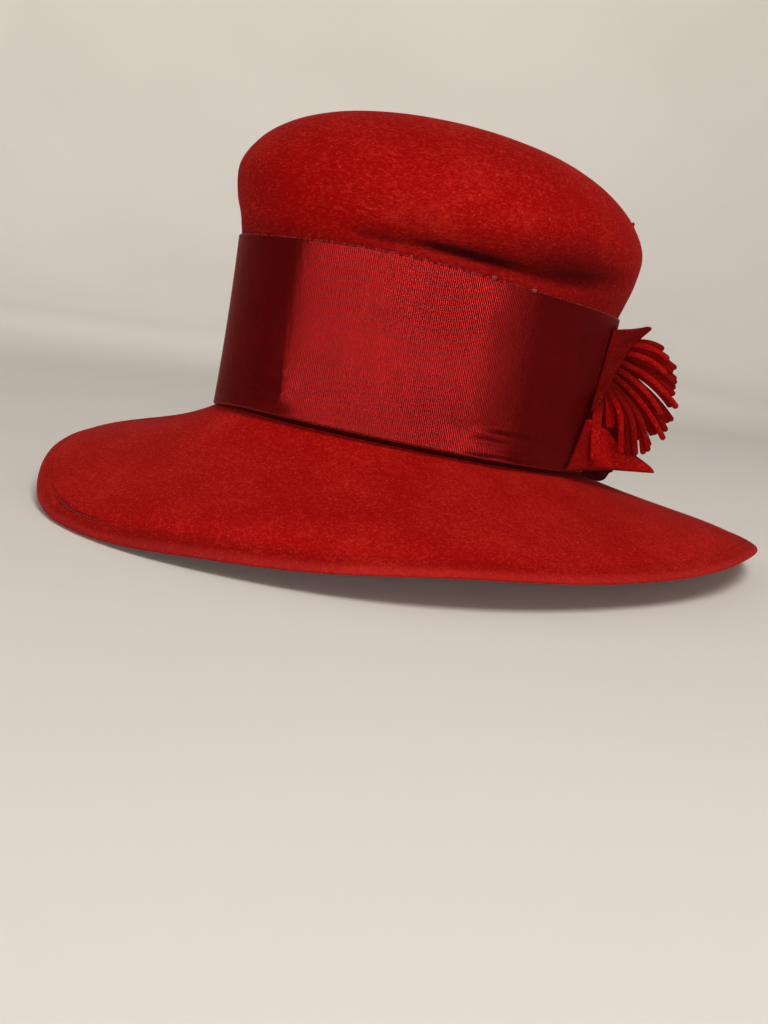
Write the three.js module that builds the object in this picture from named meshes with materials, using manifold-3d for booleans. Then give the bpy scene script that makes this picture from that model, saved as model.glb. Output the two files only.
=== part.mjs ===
// Wide brim felt hat: a tall felt crown over a dipping felt brim, a broad ribbon band, and a felt
// flower made of pointed leaves round a fringed heart.
//
// Millimetres, +Z up. The hat stands on its brim at Z = 0, under the middle of its outline. The wearer
// faces -Y and the wearer's right hand is at -X. An azimuth is turned from the front towards the right.

import * as THREE from "three";
import { mergeVertices } from "three/addons/utils/BufferGeometryUtils.js";
import Module from "manifold-3d";

const wasm = await Module();
wasm.setup();

// Driving dimensions

const HEAD = { halfLength: 98, halfWidth: 81 }; // the oval head opening, about 565 mm round
const FELT = 2.2; // wall of the crown and the brim
const SEWN_GAP = 0.4; // clearance between pieces that are sewn to each other
const COLLAR = { wall: 2, height: 12 }; // brim felt turned up inside the crown
const HEADLINE_WALL = COLLAR.wall + SEWN_GAP + FELT; // collar and crown round the head opening

const HEADLINE_HEIGHT = 43.5; // middle of the seam between crown and brim, above the table
const CROWN_LEAN = THREE.MathUtils.degToRad(6); // the crown leans to the front
const CROWN_SET_BACK = 8; // the tip lies this far behind the middle of the headline

const BRIM_REACH = 88; // nominal reach of the brim, which the edge table stretches
const BRIM_ROLL_POWER = 7; // the higher, the narrower the stretch that rolls downwards
const HEM = { width: 7, thickness: 3.6, edge: 1.2 }; // the edge is folded over and stitched down
const PRESSED = { fadeLift: 4.5, fadeWidth: 24 }; // a hem lower than this is pressed flat on the table

const RIBBON = { width: 80, wall: 1, clearOfBrim: 3, flare: 0.8 };

const FLOWER = { azimuth: 43, height: 43 }; // degrees from the front, millimetres above the headline
const LEAF_WALL = 2;
const PAD = { halfWidth: 8, top: 30, bottom: -8, thickness: 5 }; // felt backing of the fringe
const STRIP = { width: 3.4, thickness: 3 };
const FAN = {
  strips: 9, // from the top of the pad to its bottom, in each layer
  layers: [-9, -3, 3, 9], // sideways places of the layers at the bottom; they draw together at the top
  topNarrowing: 0.45,
  firstAngle: -4, // degrees above straight out, for the topmost strip
  lastAngle: -88, // for the lowest
  firstLength: 26,
  lastLength: 13,
  swell: 20, // added to the length in the middle of the fan
  droop: 8,
};

const COLUMNS = { crown: 64, brim: 64, ribbon: 64, leaf: 8, strip: 4 };
const CROWN_RINGS = { outside: 18, inside: 12 };
const RIBBON_RINGS = 5;
const LEAF_STATIONS = 9;
const STRIP_STATIONS = 5;

// The outside of the crown, one row for each section from the headline to the tip
const crownSections = [
  {
    height: 0.7,
    halfLength: HEAD.halfLength + HEADLINE_WALL,
    halfWidth: HEAD.halfWidth + HEADLINE_WALL,
  },
  { height: 30, halfLength: 102, halfWidth: 85.4 },
  { height: 60, halfLength: 103, halfWidth: 86 },
  { height: 82, halfLength: 104.4, halfWidth: 87.2 },
  { height: 90, halfLength: 106.6, halfWidth: 89.6 },
  { height: 103, halfLength: 110, halfWidth: 93 },
  { height: 117, halfLength: 110.8, halfWidth: 93.8 },
  { height: 130, halfLength: 103, halfWidth: 87.5 },
  { height: 140.5, halfLength: 90, halfWidth: 77 },
  { height: 148.5, halfLength: 73, halfWidth: 63 },
  { height: 154, halfLength: 52, halfWidth: 45 },
  { height: 157, halfLength: 27, halfWidth: 23 },
  { height: 157.6, halfLength: 0, halfWidth: 0 },
];

// Soft folds pressed into the crown: azimuth, height and depth of the middle, reach round the crown in
// degrees, reach up and down, and climb in millimetres for each degree of azimuth
const crownFolds = [
  { azimuth: 96, height: 92, depth: 6, around: 30, upDown: 6, climb: 0.05 },
  { azimuth: 250, height: 93, depth: 3, around: 40, upDown: 7, climb: 0 },
];

// The brim, one row every 30 degrees from the front by the right to the back and by the left to the front
// again: reach beyond the crown's wall, lift of the hem above the table, slope beside the crown as a share of
// the mean slope, and how far the outermost stretch rolls downwards. The back left is turned up a little.
const brimEdge = [
  { azimuth: 0, reach: 88, lift: -3, firstSlope: 1.3, roll: 5 },
  { azimuth: 30, reach: 92.5, lift: 5.5, firstSlope: 1.3, roll: 5 },
  { azimuth: 60, reach: 93, lift: 13.5, firstSlope: 1.3, roll: 6 },
  { azimuth: 90, reach: 92.5, lift: 12, firstSlope: 1.25, roll: 6 },
  { azimuth: 120, reach: 98, lift: 12, firstSlope: 1.3, roll: 6 },
  { azimuth: 150, reach: 89.5, lift: 4, firstSlope: 1.6, roll: 14 },
  { azimuth: 180, reach: 88, lift: -3, firstSlope: 1.6, roll: 14 },
  { azimuth: 210, reach: 85, lift: 10, firstSlope: 1.75, roll: 12 },
  { azimuth: 240, reach: 97, lift: 15, firstSlope: 1.5, roll: 8 },
  { azimuth: 270, reach: 92.5, lift: 12, firstSlope: 1.25, roll: 6 },
  { azimuth: 300, reach: 93, lift: 13.5, firstSlope: 1.3, roll: 6 },
  { azimuth: 330, reach: 92.5, lift: 5.5, firstSlope: 1.3, roll: 5 },
];

// Felt leaves, each ruled between two edges. A station is its turn from the flower's middle in degrees,
// its rise from that middle and its lift off the side of the hat.
const leaves = [
  {
    name: "flower_leaf_upper",
    inner: [
      { turn: 18.6, rise: -9, lift: 1.5 },
      { turn: 15.9, rise: 11.5, lift: 1.5 },
      { turn: 13.9, rise: 32.7, lift: 1.5 },
    ],
    outer: [
      { turn: 16, rise: -4, lift: 3.6 },
      { turn: 10, rise: 14.2, lift: 6 },
      { turn: 5, rise: 30, lift: 10 },
      { turn: 2, rise: 39.5, lift: 15.6 },
    ],
  },
  {
    name: "flower_leaf_lower",
    inner: [
      { turn: 19.6, rise: -13, lift: 1.5 },
      { turn: 22.9, rise: -25.3, lift: 1.5 },
      { turn: 27.1, rise: -39, lift: 1.5 },
    ],
    outer: [
      { turn: 17, rise: -12, lift: 5.5 },
      { turn: 13.6, rise: -16.6, lift: 10.8 },
      { turn: 9, rise: -25, lift: 19.8 },
      { turn: 4, rise: -31.4, lift: 34.6 },
    ],
  },
  {
    name: "flower_leaf_under",
    inner: [
      { turn: 15, rise: -35.5, lift: 1.5 },
      { turn: 8, rise: -35, lift: 8 },
      { turn: 2, rise: -35, lift: 12.5 },
    ],
    outer: [
      { turn: 15, rise: -41, lift: 1.5 },
      { turn: 8, rise: -42.5, lift: 7.5 },
      { turn: 3, rise: -38.5, lift: 12 },
    ],
  },
  {
    name: "flower_leaf_tall",
    inner: [
      { turn: -23.5, rise: -4, lift: 1.6 },
      { turn: -33, rise: 32, lift: 3.6 },
      { turn: -38, rise: 68, lift: 3.4 },
      { turn: -36, rise: 98, lift: 11 },
    ],
    outer: [
      { turn: -21.5, rise: -4, lift: 1.6 },
      { turn: -22, rise: 32, lift: 3.6 },
      { turn: -27.5, rise: 68, lift: 3.4 },
      { turn: -34.4, rise: 99, lift: 11 },
    ],
  },
];

// The two leaves on the hidden side mirror these
const mirroredLeaves = [
  { name: "flower_leaf_far_upper", mirrors: "flower_leaf_upper" },
  { name: "flower_leaf_far_lower", mirrors: "flower_leaf_lower" },
];

// Strips that fall over the notch between the two near leaves: the place over the notch, and the end
const hangingStrips = [
  { over: { turn: 19, rise: -3, lift: 8 }, end: { turn: 25, rise: -31, lift: 8 } },
  { over: { turn: 17, rise: 0, lift: 10 }, end: { turn: 21, rise: -29, lift: 12 } },
];

// Geometry helpers

const TURN = 2 * Math.PI;
const radians = THREE.MathUtils.degToRad;

/** Unit vector that points straight out of the hat at an azimuth. */
const outward = (azimuth) => new THREE.Vector3(-Math.sin(azimuth), -Math.cos(azimuth), 0);

/** Surface of positions alone, with its shared vertices merged. */
function welded(geometry) {
  geometry.deleteAttribute("normal");
  geometry.deleteAttribute("uv");
  return mergeVertices(geometry, 1e-4);
}

/** Closed surface turned on a lathe and then blocked: place(row, angle) gives each vertex its point. */
function blocked(rows, columns, place) {
  const profile = Array.from({ length: rows }, (_, row) => new THREE.Vector2(1, row));
  const blank = new THREE.LatheGeometry(profile, columns);
  const position = blank.attributes.position;
  for (let k = 0; k < position.count; k++) {
    const column = Math.floor(k / rows) % columns;
    const point = place(k % rows, (TURN * column) / columns);
    position.setXYZ(k, point.x, point.y, point.z);
  }
  return welded(blank);
}

/** Flat-faced tube along a path; frameAt(share) gives its centre, two unit directions and half sizes. */
function flatTube(stations, columns, frameAt) {
  const lastRow = stations + 1;
  return blocked(lastRow + 1, columns, (row, angle) => {
    const share = THREE.MathUtils.clamp((row - 1) / (stations - 1), 0, 1);
    const { centre, across, through, halfWidth, halfWall } = frameAt(share);
    const isEnd = row === 0 || row === lastRow;
    const corner = isEnd ? 0 : Math.SQRT2;
    const u = THREE.MathUtils.clamp(corner * Math.cos(angle), -1, 1) * halfWidth;
    const v = THREE.MathUtils.clamp(corner * Math.sin(angle), -1, 1) * halfWall;
    return centre.clone().addScaledVector(across, u).addScaledVector(through, v);
  });
}

// Crown

const crownCurve = new THREE.CatmullRomCurve3(
  crownSections.map((row) => new THREE.Vector3(row.halfLength, row.halfWidth, row.height)),
  false,
  "centripetal",
);
const CROWN_HEIGHT = crownSections.at(-1).height;
const WIDEST = 6 / (crownSections.length - 1); // place on the curve where the crown is widest

/** Half length and half width of the crown's outside at a height below its widest section. */
function crownSection(height) {
  let low = 0;
  let high = WIDEST;
  for (let step = 0; step < 30; step++) {
    const middle = (low + high) / 2;
    if (crownCurve.getPoint(middle).z < height) low = middle;
    else high = middle;
  }
  return crownCurve.getPoint(low);
}

/** Point of an oval section in the crown's own frame, whose Z = 0 is the headline. */
function ovalPoint(azimuth, halfLength, halfWidth, height) {
  const setBack = (CROWN_SET_BACK * height) / CROWN_HEIGHT;
  return new THREE.Vector3(
    -halfWidth * Math.sin(azimuth),
    setBack - halfLength * Math.cos(azimuth),
    height,
  );
}

/** Depth of the folds at a place on the crown. */
function foldDepth(azimuth, height) {
  return crownFolds.reduce((depth, fold) => {
    const turn = THREE.MathUtils.radToDeg(azimuth) - fold.azimuth;
    const up = height - fold.height - fold.climb * turn;
    return depth + fold.depth * Math.exp(-((turn / fold.around) ** 2) - (up / fold.upDown) ** 2);
  }, 0);
}

/** Closed felt shell: the outside from the tip to the headline, then the inside back to the tip. */
function crownGeometry() {
  const outsideStep = (row) => 1 - row / CROWN_RINGS.outside;
  const insideStep = (row) => (row - CROWN_RINGS.outside - 1) / CROWN_RINGS.inside;
  const rows = CROWN_RINGS.outside + CROWN_RINGS.inside + 2;
  return blocked(rows, COLUMNS.crown, (row, azimuth) => {
    const isOutside = row <= CROWN_RINGS.outside;
    const place = isOutside ? outsideStep(row) : insideStep(row);
    const section = crownCurve.getPoint(place);
    const tangent = crownCurve.getTangent(place);
    const steep = new THREE.Vector2((tangent.x + tangent.y) / 2, tangent.z).normalize();
    const wall = isOutside ? 0 : FELT;
    const inward = place === 1 ? 0 : wall * steep.y + foldDepth(azimuth, section.z);
    const down = place === 0 ? 0 : -wall * steep.x;
    return ovalPoint(azimuth, section.x - inward, section.y - inward, section.z - down);
  });
}

// Ribbon band and the surface that the flower is sewn to

const ribbonTop = RIBBON.clearOfBrim + RIBBON.width;

/** Distance of the ribbon's inside from the crown: close at the top, standing off at the bottom. */
function ribbonStandOff(height) {
  const share = THREE.MathUtils.clamp((ribbonTop - height) / RIBBON.width, 0, 1);
  return SEWN_GAP + RIBBON.flare * share ** 3;
}

/** Point and outward direction at a distance off the side of the crown. */
function sidePoint(azimuth, height, distance) {
  const section = crownSection(height);
  const normal = new THREE.Vector3(
    -section.x * Math.sin(azimuth),
    -section.y * Math.cos(azimuth),
    0,
  ).normalize();
  const point = ovalPoint(azimuth, section.x, section.y, height);
  return { point: point.addScaledVector(normal, distance), normal };
}

/** Band that closes on itself under the flower: the inside upwards, then the outside downwards. */
function ribbonGeometry() {
  const rows = 2 * RIBBON_RINGS + 1;
  return blocked(rows, COLUMNS.ribbon, (row, azimuth) => {
    const place = row % (rows - 1);
    const isOutside = place >= RIBBON_RINGS;
    const ring = isOutside ? 2 * RIBBON_RINGS - 1 - place : place;
    const height = RIBBON.clearOfBrim + (RIBBON.width * ring) / (RIBBON_RINGS - 1);
    const distance = ribbonStandOff(height) + (isOutside ? RIBBON.wall : 0);
    return sidePoint(azimuth, height, distance).point;
  });
}

/** Point and outward direction at a lift off the dressed hat: off the ribbon, or off the felt above it. */
function seat(turn, rise, lift) {
  const height = FLOWER.height + rise;
  const isOnRibbon = height < ribbonTop;
  const skin = isOnRibbon ? ribbonStandOff(height) + RIBBON.wall : 0;
  const widestHeight = crownCurve.getPoint(WIDEST).z;
  const place = sidePoint(radians(FLOWER.azimuth + turn), Math.min(height, widestHeight), skin + lift);
  place.point.z = height;
  return place;
}

// Brim

const crownFrame = new THREE.Matrix4()
  .makeTranslation(0, 0, HEADLINE_HEIGHT)
  .multiply(new THREE.Matrix4().makeRotationX(CROWN_LEAN));

const brimOutline = new THREE.CatmullRomCurve3(
  brimEdge.map((row) => new THREE.Vector3(row.reach, row.lift, 0)),
  true,
  "catmullrom",
);
const brimSweep = new THREE.CatmullRomCurve3(
  brimEdge.map((row) => new THREE.Vector3(row.firstSlope, row.roll, 0)),
  true,
  "catmullrom",
);

/** Section of the brim as distance beyond the crown's wall and offset from the felt's middle. */
function brimSection() {
  const collarOutside = -FELT - SEWN_GAP;
  const collarInside = collarOutside - COLLAR.wall;
  const hemStart = BRIM_REACH - HEM.width;
  const halfFelt = FELT / 2;
  const halfHem = HEM.thickness / 2;
  const strides = [0, 0.12, 0.27, 0.45, 0.64, 0.83].map((share) => share * hemStart);
  const over = strides.map((beyond) => ({ beyond, offset: halfFelt }));
  const under = strides.map((beyond) => ({ beyond, offset: -halfFelt })).reverse();
  return [
    { beyond: collarOutside, offset: halfFelt },
    ...over,
    { beyond: hemStart - 1, offset: halfFelt },
    { beyond: hemStart, offset: halfHem },
    { beyond: BRIM_REACH - HEM.edge, offset: halfHem },
    { beyond: BRIM_REACH, offset: halfHem - HEM.edge },
    { beyond: BRIM_REACH, offset: HEM.edge - halfHem },
    { beyond: BRIM_REACH - HEM.edge, offset: -halfHem },
    { beyond: hemStart, offset: -halfHem },
    { beyond: hemStart - 1, offset: -halfFelt },
    ...under,
    { beyond: collarInside, offset: -halfFelt },
    { beyond: collarInside, offset: COLLAR.height },
    { beyond: collarOutside, offset: COLLAR.height },
    { beyond: collarOutside, offset: halfFelt },
  ];
}

/** How far the felt is pressed flat: wholly over the hem where it would lie below the table. */
function pressedShare(beyond, lift) {
  const hemStart = BRIM_REACH - HEM.width;
  const acrossFelt = THREE.MathUtils.smoothstep(beyond, hemStart - 1 - PRESSED.fadeWidth, hemStart - 1);
  return acrossFelt * (1 - THREE.MathUtils.smoothstep(lift, 0, PRESSED.fadeLift));
}

/** Felt plate that falls from the leaning headline to its edge, pressed flat where it meets the table. */
function brimGeometry() {
  const section = brimSection();
  const feltMiddle = -FELT / 2 - 0.1;
  return blocked(section.length, COLUMNS.brim, (row, azimuth) => {
    const { beyond, offset } = section[row];
    const isSewn = beyond <= 0;
    const height = isSewn ? feltMiddle + offset : feltMiddle;
    const wall = crownSection(height);
    const inset = Math.min(beyond, 0);
    const base = ovalPoint(azimuth, wall.x + inset, wall.y + inset, height).applyMatrix4(crownFrame);
    if (isSewn) return base;
    const { x: reach, y: lift } = brimOutline.getPoint(azimuth / TURN);
    const { x: firstSlope, y: roll } = brimSweep.getPoint(azimuth / TURN);
    const share = beyond / BRIM_REACH;
    const fall = firstSlope * share + (1 - firstSlope) * share ** 2;
    const unrolledEdge = lift + HEM.thickness / 2 + roll;
    const middle = THREE.MathUtils.lerp(base.z, unrolledEdge, fall) - roll * share ** BRIM_ROLL_POWER;
    base.addScaledVector(outward(azimuth), share * reach);
    base.z = THREE.MathUtils.lerp(middle, HEM.thickness / 2, pressedShare(beyond, lift)) + offset;
    return base;
  });
}

// Flower

/** Curve through stations on the side of the hat. */
function seatCurve(stations) {
  return new THREE.CatmullRomCurve3(
    stations.map(({ turn, rise, lift }) => seat(turn, rise, lift).point),
    false,
    "catmullrom",
  );
}

/** Felt leaf ruled between its inner and outer edges; side is -1 for the mirrored leaf. */
function leafGeometry({ inner, outer }, side = 1) {
  const facing = (stations) => stations.map((station) => ({ ...station, turn: side * station.turn }));
  const innerCurve = seatCurve(facing(inner));
  const outerCurve = seatCurve(facing(outer));
  return flatTube(LEAF_STATIONS, COLUMNS.leaf, (share) => {
    const from = innerCurve.getPoint(share);
    const to = outerCurve.getPoint(share);
    const along = innerCurve.getTangent(share).add(outerCurve.getTangent(share)).normalize();
    const across = to.clone().sub(from);
    const halfWidth = across.length() / 2;
    across.normalize();
    const through = new THREE.Vector3().crossVectors(along, across).normalize();
    return { centre: from.lerp(to, 0.5), across, through, halfWidth, halfWall: LEAF_WALL / 2 };
  });
}

/** Closed solid of a geometry. */
function solid(geometry) {
  const vertProperties = new Float32Array(geometry.attributes.position.array);
  const triVerts = new Uint32Array(geometry.index.array);
  return new wasm.Manifold(new wasm.Mesh({ numProp: 3, vertProperties, triVerts }));
}

/** Geometry of a solid. */
function surface(body) {
  const mesh = body.getMesh();
  const geometry = new THREE.BufferGeometry();
  geometry.setAttribute("position", new THREE.BufferAttribute(mesh.vertProperties, 3));
  geometry.setIndex(new THREE.BufferAttribute(mesh.triVerts, 1));
  return geometry;
}

/** One strip of the fringe along a curve, broad across the given side direction. */
function stripGeometry(curve, side) {
  return flatTube(STRIP_STATIONS, COLUMNS.strip, (share) => {
    const along = curve.getTangent(share);
    const through = new THREE.Vector3().crossVectors(along, side).normalize();
    const across = new THREE.Vector3().crossVectors(through, along).normalize();
    const halfWidth = STRIP.width / 2;
    return { centre: curve.getPoint(share), across, through, halfWidth, halfWall: STRIP.thickness / 2 };
  });
}

/** Curve of a strip of the fan in the flower's frame: X to the side, Y up, Z out of the hat. */
function fanCurve(layer, share) {
  const { topNarrowing, firstAngle, lastAngle, firstLength, lastLength, swell, droop } = FAN;
  const x = layer * THREE.MathUtils.lerp(topNarrowing, 1, share);
  const y = THREE.MathUtils.lerp(PAD.top - 3, PAD.bottom + 3, share);
  const angle = radians(THREE.MathUtils.lerp(firstAngle, lastAngle, share));
  const length = THREE.MathUtils.lerp(firstLength, lastLength, share) + swell * Math.sin(Math.PI * share);
  const start = new THREE.Vector3(x, y, PAD.thickness / 2);
  const direction = new THREE.Vector3(0, Math.sin(angle), Math.cos(angle));
  const control = start.clone().addScaledVector(direction, length * 0.55);
  control.y += droop;
  return new THREE.QuadraticBezierCurve3(start, control, start.clone().addScaledVector(direction, length));
}

/** Pad with its fan of strips and the strips that hang over the notch, fused into one piece. */
function fringeGeometry(toFlower) {
  const height = PAD.top - PAD.bottom;
  const pad = new THREE.BoxGeometry(2 * PAD.halfWidth, height, PAD.thickness);
  pad.translate(0, (PAD.top + PAD.bottom) / 2, PAD.thickness / 2);
  let body = solid(welded(pad));
  const sideways = new THREE.Vector3(1, 0, 0);
  for (const layer of FAN.layers) {
    for (let k = 0; k < FAN.strips; k++) {
      const stagger = layer > 0 === Math.abs(layer) > 5 ? 0.5 : 0;
      const curve = fanCurve(layer, (k + stagger) / (FAN.strips - 0.5));
      body = body.add(solid(stripGeometry(curve, sideways)));
    }
  }
  for (const { over, end } of hangingStrips) {
    const root = new THREE.Vector3(-PAD.halfWidth + 1, 4, PAD.thickness - 1.5);
    const [bend, tip] = [over, end].map((station) =>
      seat(station.turn, station.rise, station.lift).point.applyMatrix4(toFlower),
    );
    const curve = new THREE.CatmullRomCurve3([root, bend, tip]);
    body = body.add(solid(stripGeometry(curve, new THREE.Vector3(0, 0.2, 1))));
  }
  return surface(body);
}

// Assembly

const felt = new THREE.MeshStandardMaterial({ color: 0x9c1410, roughness: 0.95, metalness: 0 });
const satin = new THREE.MeshStandardMaterial({ color: 0x8c1a1e, roughness: 0.45, metalness: 0 });

/** Named mesh of one piece. */
function piece(name, geometry, material) {
  const mesh = new THREE.Mesh(geometry, material);
  mesh.name = name;
  return mesh;
}

const group = new THREE.Group();
const leaning = new THREE.Group();
leaning.applyMatrix4(crownFrame);

const flowerSeat = seat(0, 0, SEWN_GAP);
const up = new THREE.Vector3(0, 0, 1);
const right = new THREE.Vector3().crossVectors(up, flowerSeat.normal);
const flowerFrame = new THREE.Matrix4()
  .makeBasis(right, up, flowerSeat.normal)
  .setPosition(flowerSeat.point);
const flower = new THREE.Group();
flower.applyMatrix4(flowerFrame);
flower.add(piece("flower_fringe", fringeGeometry(flowerFrame.clone().invert()), felt));

leaning.add(piece("crown", crownGeometry(), felt));
leaning.add(piece("ribbon", ribbonGeometry(), satin));
leaves.forEach((leaf) => leaning.add(piece(leaf.name, leafGeometry(leaf), felt)));
mirroredLeaves.forEach(({ name, mirrors }) => {
  const original = leaves.find((leaf) => leaf.name === mirrors);
  leaning.add(piece(name, leafGeometry(original, -1), felt));
});
leaning.add(flower);

group.add(piece("brim", brimGeometry(), felt), leaning);
group.updateMatrixWorld(true);
const box = new THREE.Box3().setFromObject(group, true);
group.position.set(-(box.min.x + box.max.x) / 2, -(box.min.y + box.max.y) / 2, -box.min.z);

export default group;
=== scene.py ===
"""Wide brim felt hat: velour felt crown and brim, ribbed ribbon band and fringed felt flower.

The main sizes repeat those of the solids, in millimetres, and MM turns them into metres. Folds, leaves
and strips follow the solids' forms in finer steps. The wearer faces -Y and the wearer's right is at -X.
An azimuth turns from the front towards the right.
"""

import logging
import math
from dataclasses import dataclass, field
from enum import Enum
from typing import Any, Iterable, Sequence, Union

import bpy
import numpy as np
from mathutils import Matrix


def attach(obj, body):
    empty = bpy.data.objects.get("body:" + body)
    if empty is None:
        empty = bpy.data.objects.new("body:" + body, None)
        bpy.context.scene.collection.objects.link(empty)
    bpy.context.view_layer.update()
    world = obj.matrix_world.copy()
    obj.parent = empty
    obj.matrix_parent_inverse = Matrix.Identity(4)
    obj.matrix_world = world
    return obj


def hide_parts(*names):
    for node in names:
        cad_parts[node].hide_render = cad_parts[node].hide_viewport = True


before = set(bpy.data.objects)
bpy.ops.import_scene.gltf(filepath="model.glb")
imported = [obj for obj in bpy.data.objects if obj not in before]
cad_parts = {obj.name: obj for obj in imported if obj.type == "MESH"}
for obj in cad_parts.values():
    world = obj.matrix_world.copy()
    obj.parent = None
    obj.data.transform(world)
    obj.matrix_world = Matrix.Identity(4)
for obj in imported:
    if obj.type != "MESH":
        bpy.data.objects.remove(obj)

MM = 0.001
SEED = 5

logging.basicConfig(level=logging.INFO, format="%(message)s")
log = logging.getLogger("hat")

Array = np.ndarray
Colour = tuple[float, float, float]

PLUMB = np.array([0.0, 0.0, 1.0])


class Slot(Enum):
    """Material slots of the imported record."""

    FELT = "felt"
    SATIN = "satin"


class Marks(Enum):
    """What a felt's UV tells: nothing, the share of painted shade, or that and the place across the brim.
    """

    NONE = 0
    PAINTED_SHADE = 1
    BRIM = 2


class Space(Enum):
    """Coordinates that a finish may be laid out in."""

    OBJECT = "Object"
    UV = "UV"


# Curves and grids


def lerp(start: Array, end: Array, share: Array) -> Array:
    """Value between start and end at a share of the way."""
    return start + (end - start) * share


def smoothstep(value: Array, low: float, high: float) -> Array:
    """Soft step from 0 at low to 1 at high."""
    share = np.clip((value - low) / (high - low), 0.0, 1.0)
    return share * share * (3.0 - 2.0 * share)


def unit(vectors: Array) -> Array:
    """The vectors at length 1."""
    return vectors / np.maximum(np.linalg.norm(vectors, axis=-1, keepdims=True), 1e-12)


def round_turn(count: int) -> Array:
    """Angles that lie evenly round a full turn."""
    return np.linspace(0.0, 2 * math.pi, count, endpoint=False)


def walked(line: Array) -> Array:
    """Length walked along a line up to each of its points."""
    return np.concatenate([[0.0], np.cumsum(np.linalg.norm(np.diff(line, axis=0), axis=1))])


def squared_circle(girth: Array, power: float) -> tuple[Array, Array]:
    """Both parts of a circle that is squared off: each part's size to a power below 1."""
    across, through = (np.sign(part) * np.abs(part) ** power for part in (np.cos(girth), np.sin(girth)))
    return across, through


def thread_tubes(lines: Array, out: Array, thick: Array, sides: int) -> Array:
    """Threads along lines: rings of points round each point of a line, square to the line.

    Args:
        lines: Points of the lines, with the points of one line in the last axis but one.
        out: Directions that point away from what the threads lie on.
        thick: Radius at each point of a line.
        sides: Points of a ring.

    Returns:
        Points of the rings, with a ring in the last axis but one.
    """
    girth = round_turn(sides)[:, None]
    ahead = unit(np.gradient(lines, axis=-2))
    across = unit(np.cross(out, ahead))
    ring = across[..., None, :] * np.cos(girth) + out[..., None, :] * np.sin(girth)
    return lines[..., None, :] + ring * thick[:, None, None]


def catmull_rom(points: Array, share: Array, closed: bool = False, centripetal: bool = False) -> Array:
    """Point on a smooth curve that passes through given points.

    Each span is the cubic that leaves and reaches its two points with tangents taken from the
    neighbouring points. A centripetal curve weighs those by the square root of the spans' lengths.

    Args:
        points: Points to pass through, one a row.
        share: Places on the curve, from 0 to 1.
        closed: Whether the last point joins the first.
        centripetal: Whether tangents are weighed by span length.

    Returns:
        One point for each share, in the last axis.
    """
    count = len(points)
    spans = count if closed else count - 1
    place = np.clip(np.asarray(share, float), 0.0, 1.0) * spans
    span = np.minimum(place.astype(int), spans - 1)
    t = (place - span)[..., None]
    if closed:
        padded = points[np.arange(-1, count + 2) % count]
    else:
        padded = np.vstack([2 * points[0] - points[1], points, 2 * points[-1] - points[-2]])
    before, start, end, after = (padded[span + step] for step in range(4))
    if centripetal:
        knot = [np.sqrt(np.linalg.norm(b - a, axis=-1, keepdims=True)) for a, b in
                ((before, start), (start, end), (end, after))]
        leave = (start - before) / knot[0] - (end - before) / (knot[0] + knot[1]) + (end - start) / knot[1]
        reach = (end - start) / knot[1] - (after - start) / (knot[1] + knot[2]) + (after - end) / knot[2]
        leave, reach = leave * knot[1], reach * knot[1]
    else:
        leave, reach = (end - before) / 2, (after - start) / 2
    square = 3 * (end - start) - 2 * leave - reach
    cube = 2 * (start - end) + leave + reach
    return start + leave * t + square * t**2 + cube * t**3


@dataclass
class Grid:
    """Points in rows and columns whose columns close on themselves; a pole closes an end.

    Attributes:
        points: Rows by columns by three, in millimetres.
        poles: Whether the first and the last row each shrink to one vertex.
        uv: Rows by columns by two, or nothing.
        loop: Whether the last row joins the first, as in a ring's section.
    """

    points: Array
    poles: tuple[bool, bool] = (False, False)
    uv: Union[Array, None] = None
    loop: bool = False

    def faces(self, first: int) -> tuple[Array, list[Array]]:
        """Corners of the quads and of the triangles round the poles.

        Args:
            first: Number of the grid's first vertex in the mesh.

        Returns:
            Quads as rows of four vertex numbers, and one array of triangles for each pole.
        """
        rows, columns = self.points.shape[:2]
        number = first + np.arange(rows * columns).reshape(rows, columns)
        ring = np.concatenate([number, number[:, :1]], axis=1)
        if self.loop:
            ring = np.concatenate([ring, ring[:1]], axis=0)
        quads = np.stack([ring[:-1, :-1], ring[1:, :-1], ring[1:, 1:], ring[:-1, 1:]], axis=-1)
        quads = quads.reshape(-1, 4)
        triangles = []
        pole = first + rows * columns
        if self.poles[0]:
            triangles.append(np.stack([np.full(columns, pole), ring[0, :-1], ring[0, 1:]], axis=-1))
            pole += 1
        if self.poles[1]:
            triangles.append(np.stack([ring[-1, 1:], ring[-1, :-1], np.full(columns, pole)], axis=-1))
        return quads, triangles

    def listed(self, rows: Array) -> Array:
        """Values of all vertices, one a row, with the means at the poles last."""
        ends = [rows[end].mean(axis=0, keepdims=True)
                for end, is_pole in zip((0, -1), self.poles) if is_pole]
        return np.concatenate([rows.reshape(-1, rows.shape[-1]), *ends])

    def vertices(self) -> Array:
        """All vertices, with the poles last."""
        return self.listed(self.points)

    def coordinates(self) -> Array:
        """UV of all vertices, or zeros."""
        return np.zeros((len(self.vertices()), 2)) if self.uv is None else self.listed(self.uv)


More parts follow.
